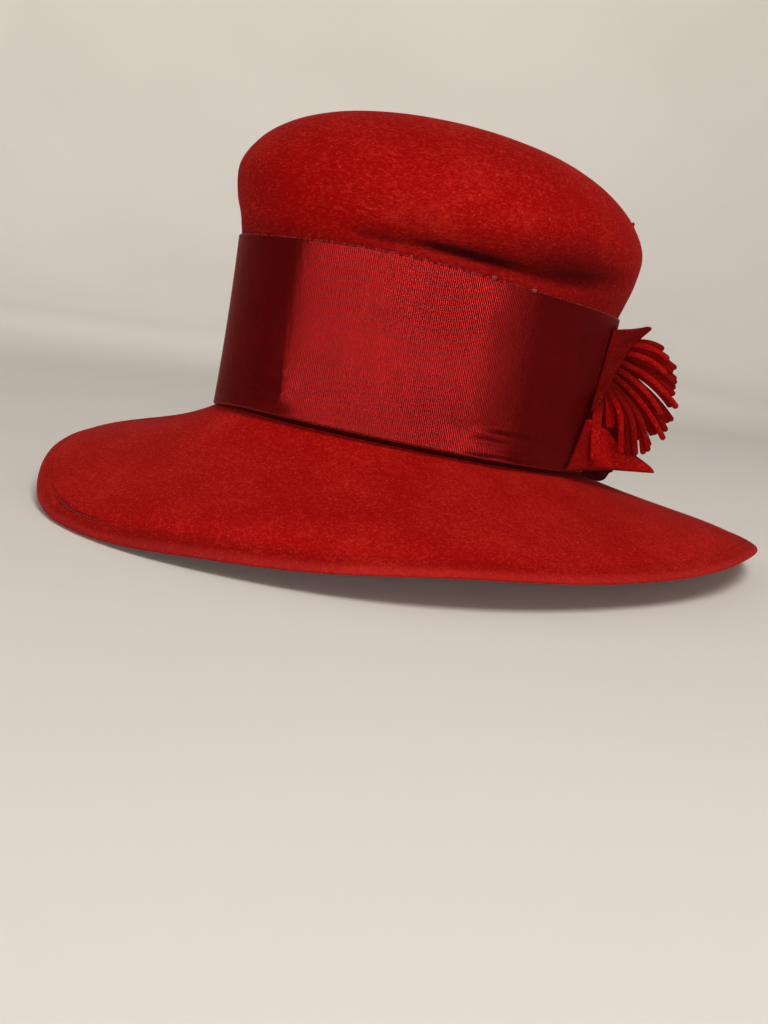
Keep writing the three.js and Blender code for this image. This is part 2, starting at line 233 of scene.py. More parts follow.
def mesh_piece(name: str, grids: Sequence[Grid], material: bpy.types.Material) -> bpy.types.Object:
    """One smooth object from grids of points.

    Args:
        name: Name of the object.
        grids: The grids that are joined in it.
        material: Its finish.

    Returns:
        The object, linked to the scene at the origin.
    """
    vertices, corners, coordinates = [], [], []
    first = 0
    for grid in grids:
        quads, triangles = grid.faces(first)
        corners.extend(quads.tolist())
        for fan in triangles:
            corners.extend(fan.tolist())
        own = grid.vertices()
        vertices.append(own)
        coordinates.append(grid.coordinates())
        first += len(own)
    mesh = bpy.data.meshes.new(name)
    mesh.from_pydata((np.concatenate(vertices) * MM).tolist(), [], corners)
    if any(grid.uv is not None for grid in grids):
        loops = np.empty(len(mesh.loops), dtype=np.int32)
        mesh.loops.foreach_get("vertex_index", loops)
        layer = mesh.uv_layers.new(name="surface")
        layer.data.foreach_set("uv", np.concatenate(coordinates)[loops].ravel())
    mesh.shade_smooth()
    mesh.materials.append(material)
    piece = bpy.data.objects.new(name, mesh)
    bpy.context.scene.collection.objects.link(piece)
    log.info("%s: %d faces", name, len(mesh.polygons))
    return piece


def stadium(columns: int, corner: int) -> tuple[Array, Array, Array]:
    """Outline of a flat bar with half-round edges.

    Args:
        columns: Points along each flat side.
        corner: Points round each edge.

    Returns:
        For each point the place along the flat from -1 to 1, and the two parts of the edge's circle.
    """
    flat = np.linspace(1.0, -1.0, columns)
    turn = np.linspace(0.0, math.pi, corner + 2)[1:-1]
    along = np.concatenate([flat, -np.ones(corner), -flat, np.ones(corner)])
    out = np.concatenate([np.zeros(columns), -np.sin(turn), np.zeros(columns), np.sin(turn)])
    up = np.concatenate([np.ones(columns), np.cos(turn), -np.ones(columns), -np.cos(turn)])
    return along, out, up


# Shader graph


class Signal:
    """A node's output that adds a node when it is used in arithmetic."""

    def __init__(self, graph: "Graph", socket: bpy.types.NodeSocket) -> None:
        """Wraps an output socket of a graph's node."""
        self.graph = graph
        self.socket = socket

    def __add__(self, other: "Value") -> "Signal":
        """Signal plus a value."""
        return self.graph.math("ADD", self, other)

    def __radd__(self, other: "Value") -> "Signal":
        """Value plus the signal."""
        return self.graph.math("ADD", other, self)

    def __sub__(self, other: "Value") -> "Signal":
        """Signal minus a value."""
        return self.graph.math("SUBTRACT", self, other)

    def __rsub__(self, other: "Value") -> "Signal":
        """Value minus the signal."""
        return self.graph.math("SUBTRACT", other, self)

    def __mul__(self, other: "Value") -> "Signal":
        """Signal times a value."""
        return self.graph.math("MULTIPLY", self, other)

    def __rmul__(self, other: "Value") -> "Signal":
        """Value times the signal."""
        return self.graph.math("MULTIPLY", other, self)

    def __abs__(self) -> "Signal":
        """Signal without its sign."""
        return self.graph.math("ABSOLUTE", self)

    def step(self, low: float, high: float) -> "Signal":
        """Soft step from 0 at low to 1 at high."""
        return self.graph.node(
            "ShaderNodeMapRange",
            {"interpolation_type": "SMOOTHSTEP"},
            {"Value": self, "From Min": low, "From Max": high},
        )


Value = Union[Signal, float]


class Graph:
    """A material and the nodes that make it."""

    def __init__(self, name: str) -> None:
        """Starts a material that has no nodes yet."""
        self.material = bpy.data.materials.new(name)
        self.material.use_nodes = True
        self.tree = self.material.node_tree
        self.tree.nodes.clear()

    def node(self, kind: str, settings: dict[str, Any], inputs: dict[Any, Any], output: Any = 0) -> Signal:
        """Any node.

        Args:
            kind: Type of the node.
            settings: Its properties, set before its inputs.
            inputs: Values or signals for its inputs, by name or number.
            output: Name or number of the output.

        Returns:
            The output as a signal.
        """
        made = self.tree.nodes.new(kind)
        for name, value in settings.items():
            setattr(made, name, value)
        for name, value in inputs.items():
            if isinstance(value, Signal):
                self.tree.links.new(value.socket, made.inputs[name])
            else:
                made.inputs[name].default_value = value
        return Signal(self, made.outputs[output])

    def math(self, operation: str, *values: Value) -> Signal:
        """Math node with these values."""
        return self.node("ShaderNodeMath", {"operation": operation}, dict(enumerate(values)))

    def scaled(self, vector: Signal, factors: Sequence[float]) -> Signal:
        """Vector times one factor along each axis."""
        return self.node("ShaderNodeVectorMath", {"operation": "MULTIPLY"}, {0: vector, 1: factors})

    def place(self, space: Space) -> Signal:
        """Coordinates on a piece in millimetres, or its UV as it is."""
        spot = self.node("ShaderNodeTexCoord", {}, {}, space.value)
        if space is Space.UV:
            return spot
        return self.scaled(spot, (1 / MM, 1 / MM, 1 / MM))

    def part(self, vector: Signal, axis: str) -> Signal:
        """One coordinate of a vector."""
        return self.node("ShaderNodeSeparateXYZ", {}, {0: vector}, axis)

    def noise(self, spot: Signal, size: float, detail: float = 2.0, rough: float = 0.5) -> Signal:
        """Noise whose blots are about size wide."""
        inputs = {"Vector": spot, "Scale": 1.0 / size, "Detail": detail, "Roughness": rough}
        return self.node("ShaderNodeTexNoise", {}, inputs, 0)

    def mix(self, share: Value, start: Any, end: Any) -> Signal:
        """Colour between two colours."""
        ends = {0: share, 6: self.colour(start), 7: self.colour(end)}
        return self.node("ShaderNodeMix", {"data_type": "RGBA"}, ends, 2)

    @staticmethod
    def colour(value: Any) -> Any:
        """Colour with its alpha, or the signal itself."""
        return value if isinstance(value, Signal) else (*value, 1.0)

    def bump(self, height: Signal, depth: float, strength: float = 1.0) -> Signal:
        """Normal of a relief that is depth millimetres high."""
        inputs = {"Height": height, "Distance": depth * MM, "Strength": strength}
        return self.node("ShaderNodeBump", {}, inputs)

    def surface(self, constants: dict[str, Any], signals: dict[str, Signal]) -> bpy.types.Material:
        """Ends the graph in a principled surface.

        Args:
            constants: Inputs that are the same everywhere.
            signals: Inputs that vary.

        Returns:
            The finished material.
        """
        shader = self.node("ShaderNodeBsdfPrincipled", {}, {**constants, **signals})
        output = self.tree.nodes.new("ShaderNodeOutputMaterial")
        self.tree.links.new(shader.socket, output.inputs["Surface"])
        return self.material


# Finishes


@dataclass(frozen=True)
class FeltFinish:
    """Brushed velour felt: fine pale fibres that lie in streaks over a deep ground, and stray specks.

    Attributes:
        name: Name of the material.
        deep: Colour of the ground.
        lit: Colour of the fibres.
        speck: Colour of stray pale fibre ends.
        painted_shade: Colour of the painted shade in seams, creases, recesses and under the bulge.
        sheen_and_wear: Colour of the brim's lighter rolled edge: painted sheen where the round edge catches
            light, and rubbed nap.
        stretch: Factors on the coordinates, smaller along the nap.
        fibre: Spacing of the fibres.
        tips: Levels of the noise between which a fibre comes up.
        grain: Size of the felt's finest grain.
        brush: Size of the streaks that the brush leaves.
        patch: Size of lighter and darker patches.
        speck_size: Size of a stray fibre end.
        speck_patch: Size of the patches where those show.
        relief: Height of the nap.
        shade: Factor on the ground and the fibres; below 1 it paints shade, making a darker copy of the
            felt.
        marks: What the UV of the piece tells.
    """

    name: str
    deep: Colour = (0.272, 0.0004, 0.0002)
    lit: Colour = (0.430, 0.0120, 0.0070)
    speck: Colour = (0.80, 0.13, 0.10)
    painted_shade: Colour = (0.020, 0.0006, 0.0006)
    sheen_and_wear: Colour = (0.46, 0.030, 0.026)
    stretch: Colour = (0.48, 0.48, 1.1)
    fibre: float = 1.35
    tips: tuple[float, float] = (0.44, 0.70)
    grain: float = 0.55
    brush: float = 7.0
    patch: float = 34.0
    speck_size: float = 0.62
    speck_patch: float = 3.4
    relief: float = 0.24
    shade: float = 1.0
    marks: Marks = Marks.NONE

    def material(self) -> bpy.types.Material:
        """The felt as a material."""
        graph = Graph(self.name)
        spot = graph.place(Space.OBJECT)
        napped = graph.scaled(spot, self.stretch)
        coarse = graph.noise(napped, self.fibre, 2.0, 0.6).step(*self.tips)
        fine = graph.noise(graph.scaled(napped, (1.9, 1.9, 1.9)), self.fibre, 1.0).step(*self.tips)
        grain = graph.noise(spot, self.grain, 1.0)
        brushed = graph.noise(graph.scaled(spot, (1.0, 1.0, 1.8)), self.brush, 2.0, 0.6)
        patch = graph.noise(spot, self.patch, 2.0)
        fibres = coarse * 0.46 + fine * 0.40 + (grain - 0.5) * 0.35
        tone = fibres + (brushed - 0.5) * 0.55 + (patch - 0.5) * 1.0 + 0.05
        ground = tuple(part * self.shade for part in self.deep)
        pile = tuple(part * self.shade for part in self.lit)
        colour = graph.mix(tone.step(0.0, 1.0), ground, pile)
        specks = graph.noise(graph.scaled(spot, (1.0, 1.0, 1.3)), self.speck_size, 0.0)
        sparse = graph.noise(spot, self.speck_patch, 1.0).step(0.52, 0.70)
        colour = graph.mix(specks.step(0.745, 0.80) * sparse * 0.6, colour, self.speck)
        colour = self.marked(graph, colour)
        return graph.surface(
            {
                "Sheen Weight": 0.12,
                "Sheen Roughness": 0.42,
                "Sheen Tint": (0.9, 0.06, 0.04, 1.0),
                "Specular IOR Level": 0.06,
            },
            {
                "Base Color": colour,
                "Roughness": 0.97 - fibres * 0.12,
                "Normal": graph.bump(fibres, self.relief, 0.8),
            },
        )

    def marked(self, graph: Graph, colour: Signal) -> Signal:
        """Colour with what the UV tells: painted shade, and on the brim a lighter rolled edge of painted
        sheen and rubbed nap.
        """
        if self.marks is Marks.NONE:
            return colour
        told = graph.place(Space.UV)
        # UV X is the share of painted shade.
        colour = graph.mix(graph.part(told, "X"), colour, self.painted_shade)
        if self.marks is Marks.PAINTED_SHADE:
            return colour
        # The brim's rolled edge is lighter: painted sheen and rubbed nap.
        return graph.mix(graph.part(told, "Y").step(0.955, 0.99) * 0.25, colour, self.sheen_and_wear)


@dataclass(frozen=True)
class SatinFinish:
    """Ribbed satin: lustrous threads over fine cords, with pale thread ends and painted glints along the
    selvages.

    Attributes:
        name: Name of the material.
        warp: Colour of the threads.
        slub: Colour where the threads are thicker.
        selvage_and_glint: Colour of the pale thread ends and painted glints along both edges.
        width: Width of the ribbon, for its selvages.
        tucks: Middle along and up the ribbon, and reach both ways, of the tucks near the flower.
        ripples: The same of the ripples at the back.
    """

    name: str
    warp: Colour = (0.100, 0.0007, 0.0008)
    slub: Colour = (0.135, 0.0014, 0.0016)
    selvage_and_glint: Colour = (0.19, 0.012, 0.012)
    width: float = 80.0
    tucks: tuple[float, float, float, float] = (163.0, 8.0, 25.0, 8.0)
    ripples: tuple[float, float, float, float] = (281.0, 13.0, 20.0, 17.0)

    def material(self) -> bpy.types.Material:
        """The satin as a material."""
        graph = Graph(self.name)
        spot = graph.place(Space.UV)
        rise = graph.part(spot, "Y")
        along_cord = graph.noise(graph.scaled(spot, (2.4, 0.18, 1.0)), 1.0, 2.0)
        picks = graph.noise(graph.scaled(spot, (0.6, 4.0, 1.0)), 1.0, 1.0)
        broad = graph.noise(spot, 22.0, 1.0)
        tone = along_cord * 0.6 + broad * 0.4
        colour = graph.mix(tone.step(0.3, 0.75), self.warp, self.slub)
        edge = 1.0 - rise.step(0.3, 0.9) + rise.step(self.width - 0.7, self.width - 0.2)
        # Spots along both edges get pale thread ends and painted glints.
        sparkle = graph.noise(graph.scaled(spot, (1.0, 0.2, 1.0)), 0.9, 0.0).step(0.36, 0.58)
        colour = graph.mix(edge * sparkle, colour, self.selvage_and_glint)
        tucks = graph.noise(graph.scaled(spot, (0.04, 0.19, 1.0)), 1.0, 0.5) * 1.3
        ripples = graph.noise(graph.scaled(spot, (0.09, 0.13, 1.0)), 1.0, 1.0) * 1.35
        relief = tucks * self.near(graph, spot, *self.tucks)
        relief = relief + ripples * self.near(graph, spot, *self.ripples)
        relief = relief + picks * 0.025 + along_cord * 0.025 + broad * 0.12
        return graph.surface(
            {
                "Anisotropic": 0.35,
                "Anisotropic Rotation": 0.25,
                "Specular IOR Level": 0.4,
                "Specular Tint": (1.0, 0.5, 0.5, 1.0),
            },
            {
                "Base Color": colour,
                "Roughness": 0.15 + along_cord * 0.06,
                "Metallic": 0.8 - edge * 0.7,
                "Normal": graph.bump(relief, 1.0),
            },
        )

    @staticmethod
    def near(graph: Graph, spot: Signal, along: float, up: float, length: float, height: float) -> Signal:
        """Share that falls from 1 at a place along and up the ribbon to 0 at some distance both ways."""
        away = abs(graph.part(spot, "X") - along)
        above = abs(graph.part(spot, "Y") - up)
        return (1.0 - away.step(0.2 * length, length)) * (1.0 - above.step(0.2 * height, height))


@dataclass(frozen=True)
class ThreadFinish:
    """Sewing thread with a soft shine and a twist."""

    name: str
    colour: Colour
    shade: Colour
    twist: float = 0.35

    def material(self) -> bpy.types.Material:
        """The thread as a material."""
        graph = Graph(self.name)
        spot = graph.place(Space.OBJECT)
        twist = graph.noise(graph.scaled(spot, (1.0, 1.0, 1.6)), self.twist, 1.0)
        colour = graph.mix(twist.step(0.35, 0.65), self.shade, self.colour)
        return graph.surface(
            {"Specular IOR Level": 0.4, "Sheen Weight": 0.15},
            {"Base Color": colour, "Roughness": 0.45 + twist * 0.2, "Normal": graph.bump(twist, 0.08)},
        )


@dataclass(frozen=True)
class PaperFinish:
    """Pale matt studio paper with a faint tooth."""

    name: str
    colour: Colour
    shade: Colour
    cloud: float = 420.0

    def material(self) -> bpy.types.Material:
        """The paper as a material."""
        graph = Graph(self.name)
        spot = graph.place(Space.OBJECT)
        cloud = graph.noise(spot, self.cloud, 2.0)
        colour = graph.mix(cloud.step(0.3, 0.7), self.shade, self.colour)
        return graph.surface(
            {"Specular IOR Level": 0.15},
            {"Base Color": colour, "Roughness": 0.85 + cloud * 0.1},
        )


# Form of the hat


@dataclass(frozen=True)
class Fold:
    """Soft fold or dent, a bell curve round its middle.

    Attributes:
        azimuth: Place of the middle round the hat, in degrees.
        height: Height of the middle.
        depth: Depth at the middle.
        around: Reach round the hat, in degrees.
        up_down: Reach up and down.
        climb: Rise for each degree round the hat.
        overhang: Factor on the reach above the middle; below 1 the felt hangs over the fold.
    """

    azimuth: float
    height: float
    depth: float
    around: float
    up_down: float
    climb: float = 0.0
    overhang: float = 1.0

    def at(self, azimuth: Array, height: Array) -> Array:
        """Depth of the fold at azimuths in radians and heights."""
        turn = (np.degrees(azimuth) - self.azimuth + 180.0) % 360.0 - 180.0
        up = (height - self.height - self.climb * turn) / self.up_down
        up = np.where(up > 0, up / self.overhang, up)
        return self.depth * np.exp(-((turn / self.around) ** 2) - up**2)


@dataclass(frozen=True)
class Stretch:
    """Stretch of the hat's girth, a bell curve round its middle.

    Attributes:
        azimuth: Place of the middle round the hat, in degrees.
        reach: Reach to either side, in degrees.
    """

    azimuth: float
    reach: float

    def at(self, azimuth: Array) -> Array:
        """Share at azimuths in radians: 1 at the middle."""
        return np.exp(-(((np.degrees(azimuth) - self.azimuth) / self.reach) ** 2))


@dataclass(frozen=True)
class Wave:
    """Sine wave round the hat.

    Attributes:
        swing: Height of its crests.
        crests: Number of crests round the hat.
        start: Its phase at the front, in radians.
        slant: Phase added for each millimetre of height.
    """

    swing: float
    crests: int
    start: float = 0.0
    slant: float = 0.0

    def at(self, azimuth: Array, height: Union[Array, float] = 0.0) -> Array:
        """The wave at azimuths in radians and heights."""
        return self.swing * np.sin(self.crests * azimuth + self.slant * height + self.start)


def total(waves: Iterable[Wave], azimuth: Array, height: Union[Array, float] = 0.0) -> Array:
    """Sum of waves at azimuths in radians and heights."""
    return sum((wave.at(azimuth, height) for wave in waves), np.zeros(1))


@dataclass(frozen=True)
class Station:
    """Place on the side of the hat: turn and rise from the flower's middle, and lift off the hat."""

    turn: float
    rise: float
    lift: float


def course(*rows: tuple[float, float, float]) -> tuple[Station, ...]:
    """Stations of a line, one for each row of turn, rise and lift."""
    return tuple(Station(*row) for row in rows)


def crown_sections() -> Array:
    """Outside of the crown from the headline to the tip: half length, half width, height."""
    return np.array([
        (102.6, 85.6, 0.7),
        (102.0, 85.4, 30.0),
        (103.0, 86.0, 60.0),
        (104.4, 87.2, 82.0),
        (106.6, 89.6, 90.0),
        (110.0, 93.0, 103.0),
        (110.8, 93.8, 117.0),
        (103.0, 87.5, 130.0),
        (90.0, 77.0, 140.5),
        (73.0, 63.0, 148.5),
        (52.0, 45.0, 154.0),
        (27.0, 23.0, 157.0),
        (0.0, 0.0, 157.6),
    ])


@dataclass(frozen=True)
class HatForm:
    """Sizes and surfaces that the pieces share, with the headline at height 0 in the crown's frame.

    Attributes:
        felt: Wall of the crown and the brim.
        sewn_gap: Clearance between pieces that are sewn to each other.
        headline: Height of the headline above the table.
        lean: How far the crown leans to the front, in degrees.
        set_back: How far the tip lies behind the middle of the headline.
        sections: Sections of the crown.
        widest: Number of the widest section.
        folds: Folds in the crown.
        ribbon_width: Width of the ribbon.
        ribbon_wall: Thickness of the ribbon.
        ribbon_foot: Height of the ribbon's lower edge.
        ribbon_flare: How far the lower edge stands off.
        flower_azimuth: Place of the flower round the hat, in degrees.
        flower_height: Height of the flower's middle.
    """

    felt: float = 2.2
    sewn_gap: float = 0.4
    headline: float = 43.5
    lean: float = 6.0
    set_back: float = 8.0
    sections: Array = field(default_factory=crown_sections)
    widest: int = 6
    folds: tuple[Fold, ...] = (
        Fold(114, 92.8, 7.6, 23, 3.4, 0.015, 0.6),
        Fold(112, 95.0, 2.4, 27, 8.0),
        Fold(80, 95.5, 5.0, 18, 6.0, -0.2, 0.7),
        Fold(139, 91.2, 1.5, 10, 2.8, 0.0, 0.7),
        Fold(250, 93, 3, 40, 7),
    )
    ribbon_width: float = 80.0
    ribbon_wall: float = 1.0
    ribbon_foot: float = 3.0
    ribbon_flare: float = 0.8
    flower_azimuth: float = 43.0
    flower_height: float = 43.0

    @property
    def ribbon_top(self) -> float:
        """Height of the ribbon's upper edge."""
        return self.ribbon_foot + self.ribbon_width

    def on_table(self, points: Array) -> Array:
        """Points of the crown's leaning frame as they stand on the table."""
        lean = math.radians(self.lean)
        x, y, z = np.moveaxis(points, -1, 0)
        back = y * math.cos(lean) - z * math.sin(lean)
        up = y * math.sin(lean) + z * math.cos(lean) + self.headline
        return np.stack([x, back, up], axis=-1)

    def crown_curve(self, place: Array) -> Array:
        """Half length, half width and height of the crown at places from the headline to the tip."""
        return catmull_rom(self.sections, place, centripetal=True)

    def section_at(self, height: Array) -> tuple[Array, Array]:
        """Half length and half width of the crown at heights below its widest section."""
        samples = 1200
        places = np.linspace(0.0, self.widest / (len(self.sections) - 1), samples)
        known = self.crown_curve(places)
        return np.interp(height, known[:, 2], known[:, 0]), np.interp(height, known[:, 2], known[:, 1])

    def oval(self, azimuth: Array, half_length: Array, half_width: Array, height: Array) -> Array:
        """Points of oval sections in the crown's frame."""
        set_back = self.set_back * height / self.sections[-1, 2]
        x = -half_width * np.sin(azimuth)
        y = set_back - half_length * np.cos(azimuth)
        return np.stack(np.broadcast_arrays(x, y, height), axis=-1)

    def fold_depth(self, azimuth: Array, height: Array) -> Array:
        """Depth of all the crown's folds."""
        return sum((fold.at(azimuth, height) for fold in self.folds), np.zeros(1))

    def ribbon_stand_off(self, height: Array) -> Array:
        """Distance of the ribbon's inside from the crown."""
        share = np.clip((self.ribbon_top - height) / self.ribbon_width, 0.0, 1.0)
        return self.sewn_gap + self.ribbon_flare * share**3

    def side(self, azimuth: Array, height: Array, distance: Array) -> tuple[Array, Array]:
        """Points at a distance off the side of the crown, and the outward directions there."""
        half_length, half_width = self.section_at(height)
        x = -half_length * np.sin(azimuth)
        y = -half_width * np.cos(azimuth)
        normal = unit(np.stack(np.broadcast_arrays(x, y, np.zeros_like(x)), axis=-1))
        points = self.oval(azimuth, half_length, half_width, height)
        return points + normal * np.asarray(distance)[..., None], normal

    def seat(self, stations: Sequence[Station], side: float = 1.0) -> Array:
        """Points of stations off the dressed hat; side is -1 for the mirrored flank of the flower."""
        turn = side * np.array([station.turn for station in stations])
        height = self.flower_height + np.array([station.rise for station in stations])
        lift = np.array([station.lift for station in stations])
        skin = np.where(height < self.ribbon_top, self.ribbon_stand_off(height) + self.ribbon_wall, 0.0)
        low = np.minimum(height, self.sections[self.widest, 2])
        points, _ = self.side(np.radians(self.flower_azimuth + turn), low, skin + lift)
        points[:, 2] = height
        return points


# Pieces


@dataclass
class Piece:
    """A sub-assembly that stands for nodes of the frame.

    Attributes:
        form: The shared form of the hat.
    """

    form: HatForm

    def hand_over(self, piece: bpy.types.Object, slot: Slot, nodes: Iterable[str] = ()) -> bpy.types.Object:
        """Makes an object ride on the frame.

        Args:
            piece: The object.
            slot: Material slot of the imported record; not used.
            nodes: Nodes that it stands for.

        Returns:
            The object.
        """
        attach(piece, "root")
        if nodes:
            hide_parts(*nodes)
        return piece


@dataclass
class Crown(Piece):
    """Felt crown, a blocked shell that bulges over the ribbon.

    Attributes:
        columns: Points round the crown.
        outside_rows: Rows from the tip to the headline.
        inside_rows: Rows of the inside.
        pucker: Height of the uneven blocking of the felt.
        waves: Waves that this is made of.
        free: Heights between which the felt comes free of the ribbon's hold.
        beside_flower: Stretch beside the flower, where the bulge hangs over.
        near_side: Stretch round the crease.
        bulge_foot: Height of the foot of the bulge.
    """

    columns: int = 360
    outside_rows: int = 170
    inside_rows: int = 60
    pucker: float = 0.45
    waves: tuple[Wave, ...] = (
        Wave(1.0, 3, 0.6, 0.05),
        Wave(0.8, 5, 2.1, -0.031),
        Wave(0.5, 9, 4.0, 0.07),
        Wave(0.4, 14, 0.0, -0.11),
    )
    free: tuple[float, float] = (84.0, 100.0)
    beside_flower: Stretch = Stretch(80.0, 25.0)
    near_side: Stretch = Stretch(95.0, 50.0)
    bulge_foot: float = 95.0

    def uneven(self, azimuth: Array, height: Array) -> Array:
        """Slight unevenness of blocked felt: a few slow waves round the crown and up it."""
        share = total(self.waves, azimuth, height) / sum(wave.swing for wave in self.waves)
        return self.pucker * share * smoothstep(height, *self.free)

    def shell(self, place: Array, wall: float) -> Array:
        """Oval sections at places from the headline to the tip, moved inwards by the folds and a wall."""
        azimuth = round_turn(self.columns)[None, :]
        section = self.form.crown_curve(place)
        behind, ahead = (self.form.crown_curve(np.clip(place + step, 0, 1)) for step in (-1e-4, 1e-4))
        tangent = ahead - behind
        steep = unit(np.stack([(tangent[:, 0] + tangent[:, 1]) / 2, tangent[:, 2]], axis=-1))
        height = section[:, 2:3]
        tip_radius, pole_radius = 40.0, 0.05
        fade = smoothstep(section[:, 0:1], 0.0, tip_radius)
        inward = wall * steep[:, 1:2] + self.form.fold_depth(azimuth, height)
        inward = (inward - self.uneven(azimuth, height)) * fade
        down = np.where(place[:, None] == 0.0, 0.0, -wall * steep[:, 0:1])
        wide = np.maximum(section[:, 0:1] - inward, pole_radius)
        narrow = np.maximum(section[:, 1:2] - inward, pole_radius)
        return self.form.on_table(self.form.oval(azimuth, wide, narrow, height - down))

    def painted_shade(self, azimuth: Array, height: Array) -> Array:
        """Share of painted shade: in the crease, its tail and the hollow, under the bulge, and in the seam.

        Each is a soft step in height or in a fold's depth. Under the bulge it is deeper and broader
        beside the flower, and the felt next to the ribbon's upper edge has a share of its own. The
        shares join as layers of shade do.

        Args:
            azimuth: Azimuths, one a column.
            height: Heights, one a row.

        Returns:
            Rows by columns of shares.
        """
        crease, _, hollow, tail = (fold.at(azimuth, height) / fold.depth for fold in self.form.folds[:4])
        beside = self.beside_flower.at(azimuth)
        hang = 0.36 * self.near_side.at(azimuth) + 0.34 * beside
        above = (height - self.bulge_foot) / (12.0 + 16.0 * beside)
        hang = hang * smoothstep(height, 84.0, 94.0) * (1.0 - smoothstep(above, 0.0, 1.0))
        layers = (
            0.93 * smoothstep(crease, 0.22, 0.95),
            0.45 * smoothstep(hollow, 0.25, 1.0),
            0.50 * smoothstep(tail, 0.2, 0.9),
            hang,
            0.35 * (1.0 - smoothstep(height, 85.0, 95.0)),
            1.0 - smoothstep(height, 2.0, 5.0),
        )
        return 1.0 - math.prod(1.0 - layer for layer in layers)

    def build(self, felt: bpy.types.Material) -> bpy.types.Object:
        """The crown as one closed felt shell."""
        tip = 0.998
        third = self.outside_rows // 3
        # The middle third of the rows lies close together, where the crease is.
        rows = np.concatenate([np.linspace(tip, 0.44, third), np.linspace(0.435, 0.235, third),
                               np.linspace(0.225, 0.0, third)])
        back = np.linspace(0.0, tip, self.inside_rows)
        skin = np.concatenate([self.shell(rows, 0.0), self.shell(back, self.form.felt)])
        azimuth = round_turn(self.columns)[None, :]
        height = self.form.crown_curve(np.concatenate([rows, back]))[:, 2:3]
        # UV X carries the painted shade and UV Y the height.
        uv = np.stack(np.broadcast_arrays(self.painted_shade(azimuth, height), height), axis=-1)
        grid = Grid(skin, poles=(True, True), uv=uv)
        return self.hand_over(mesh_piece("crown_felt", [grid], felt), Slot.FELT, ["crown"])


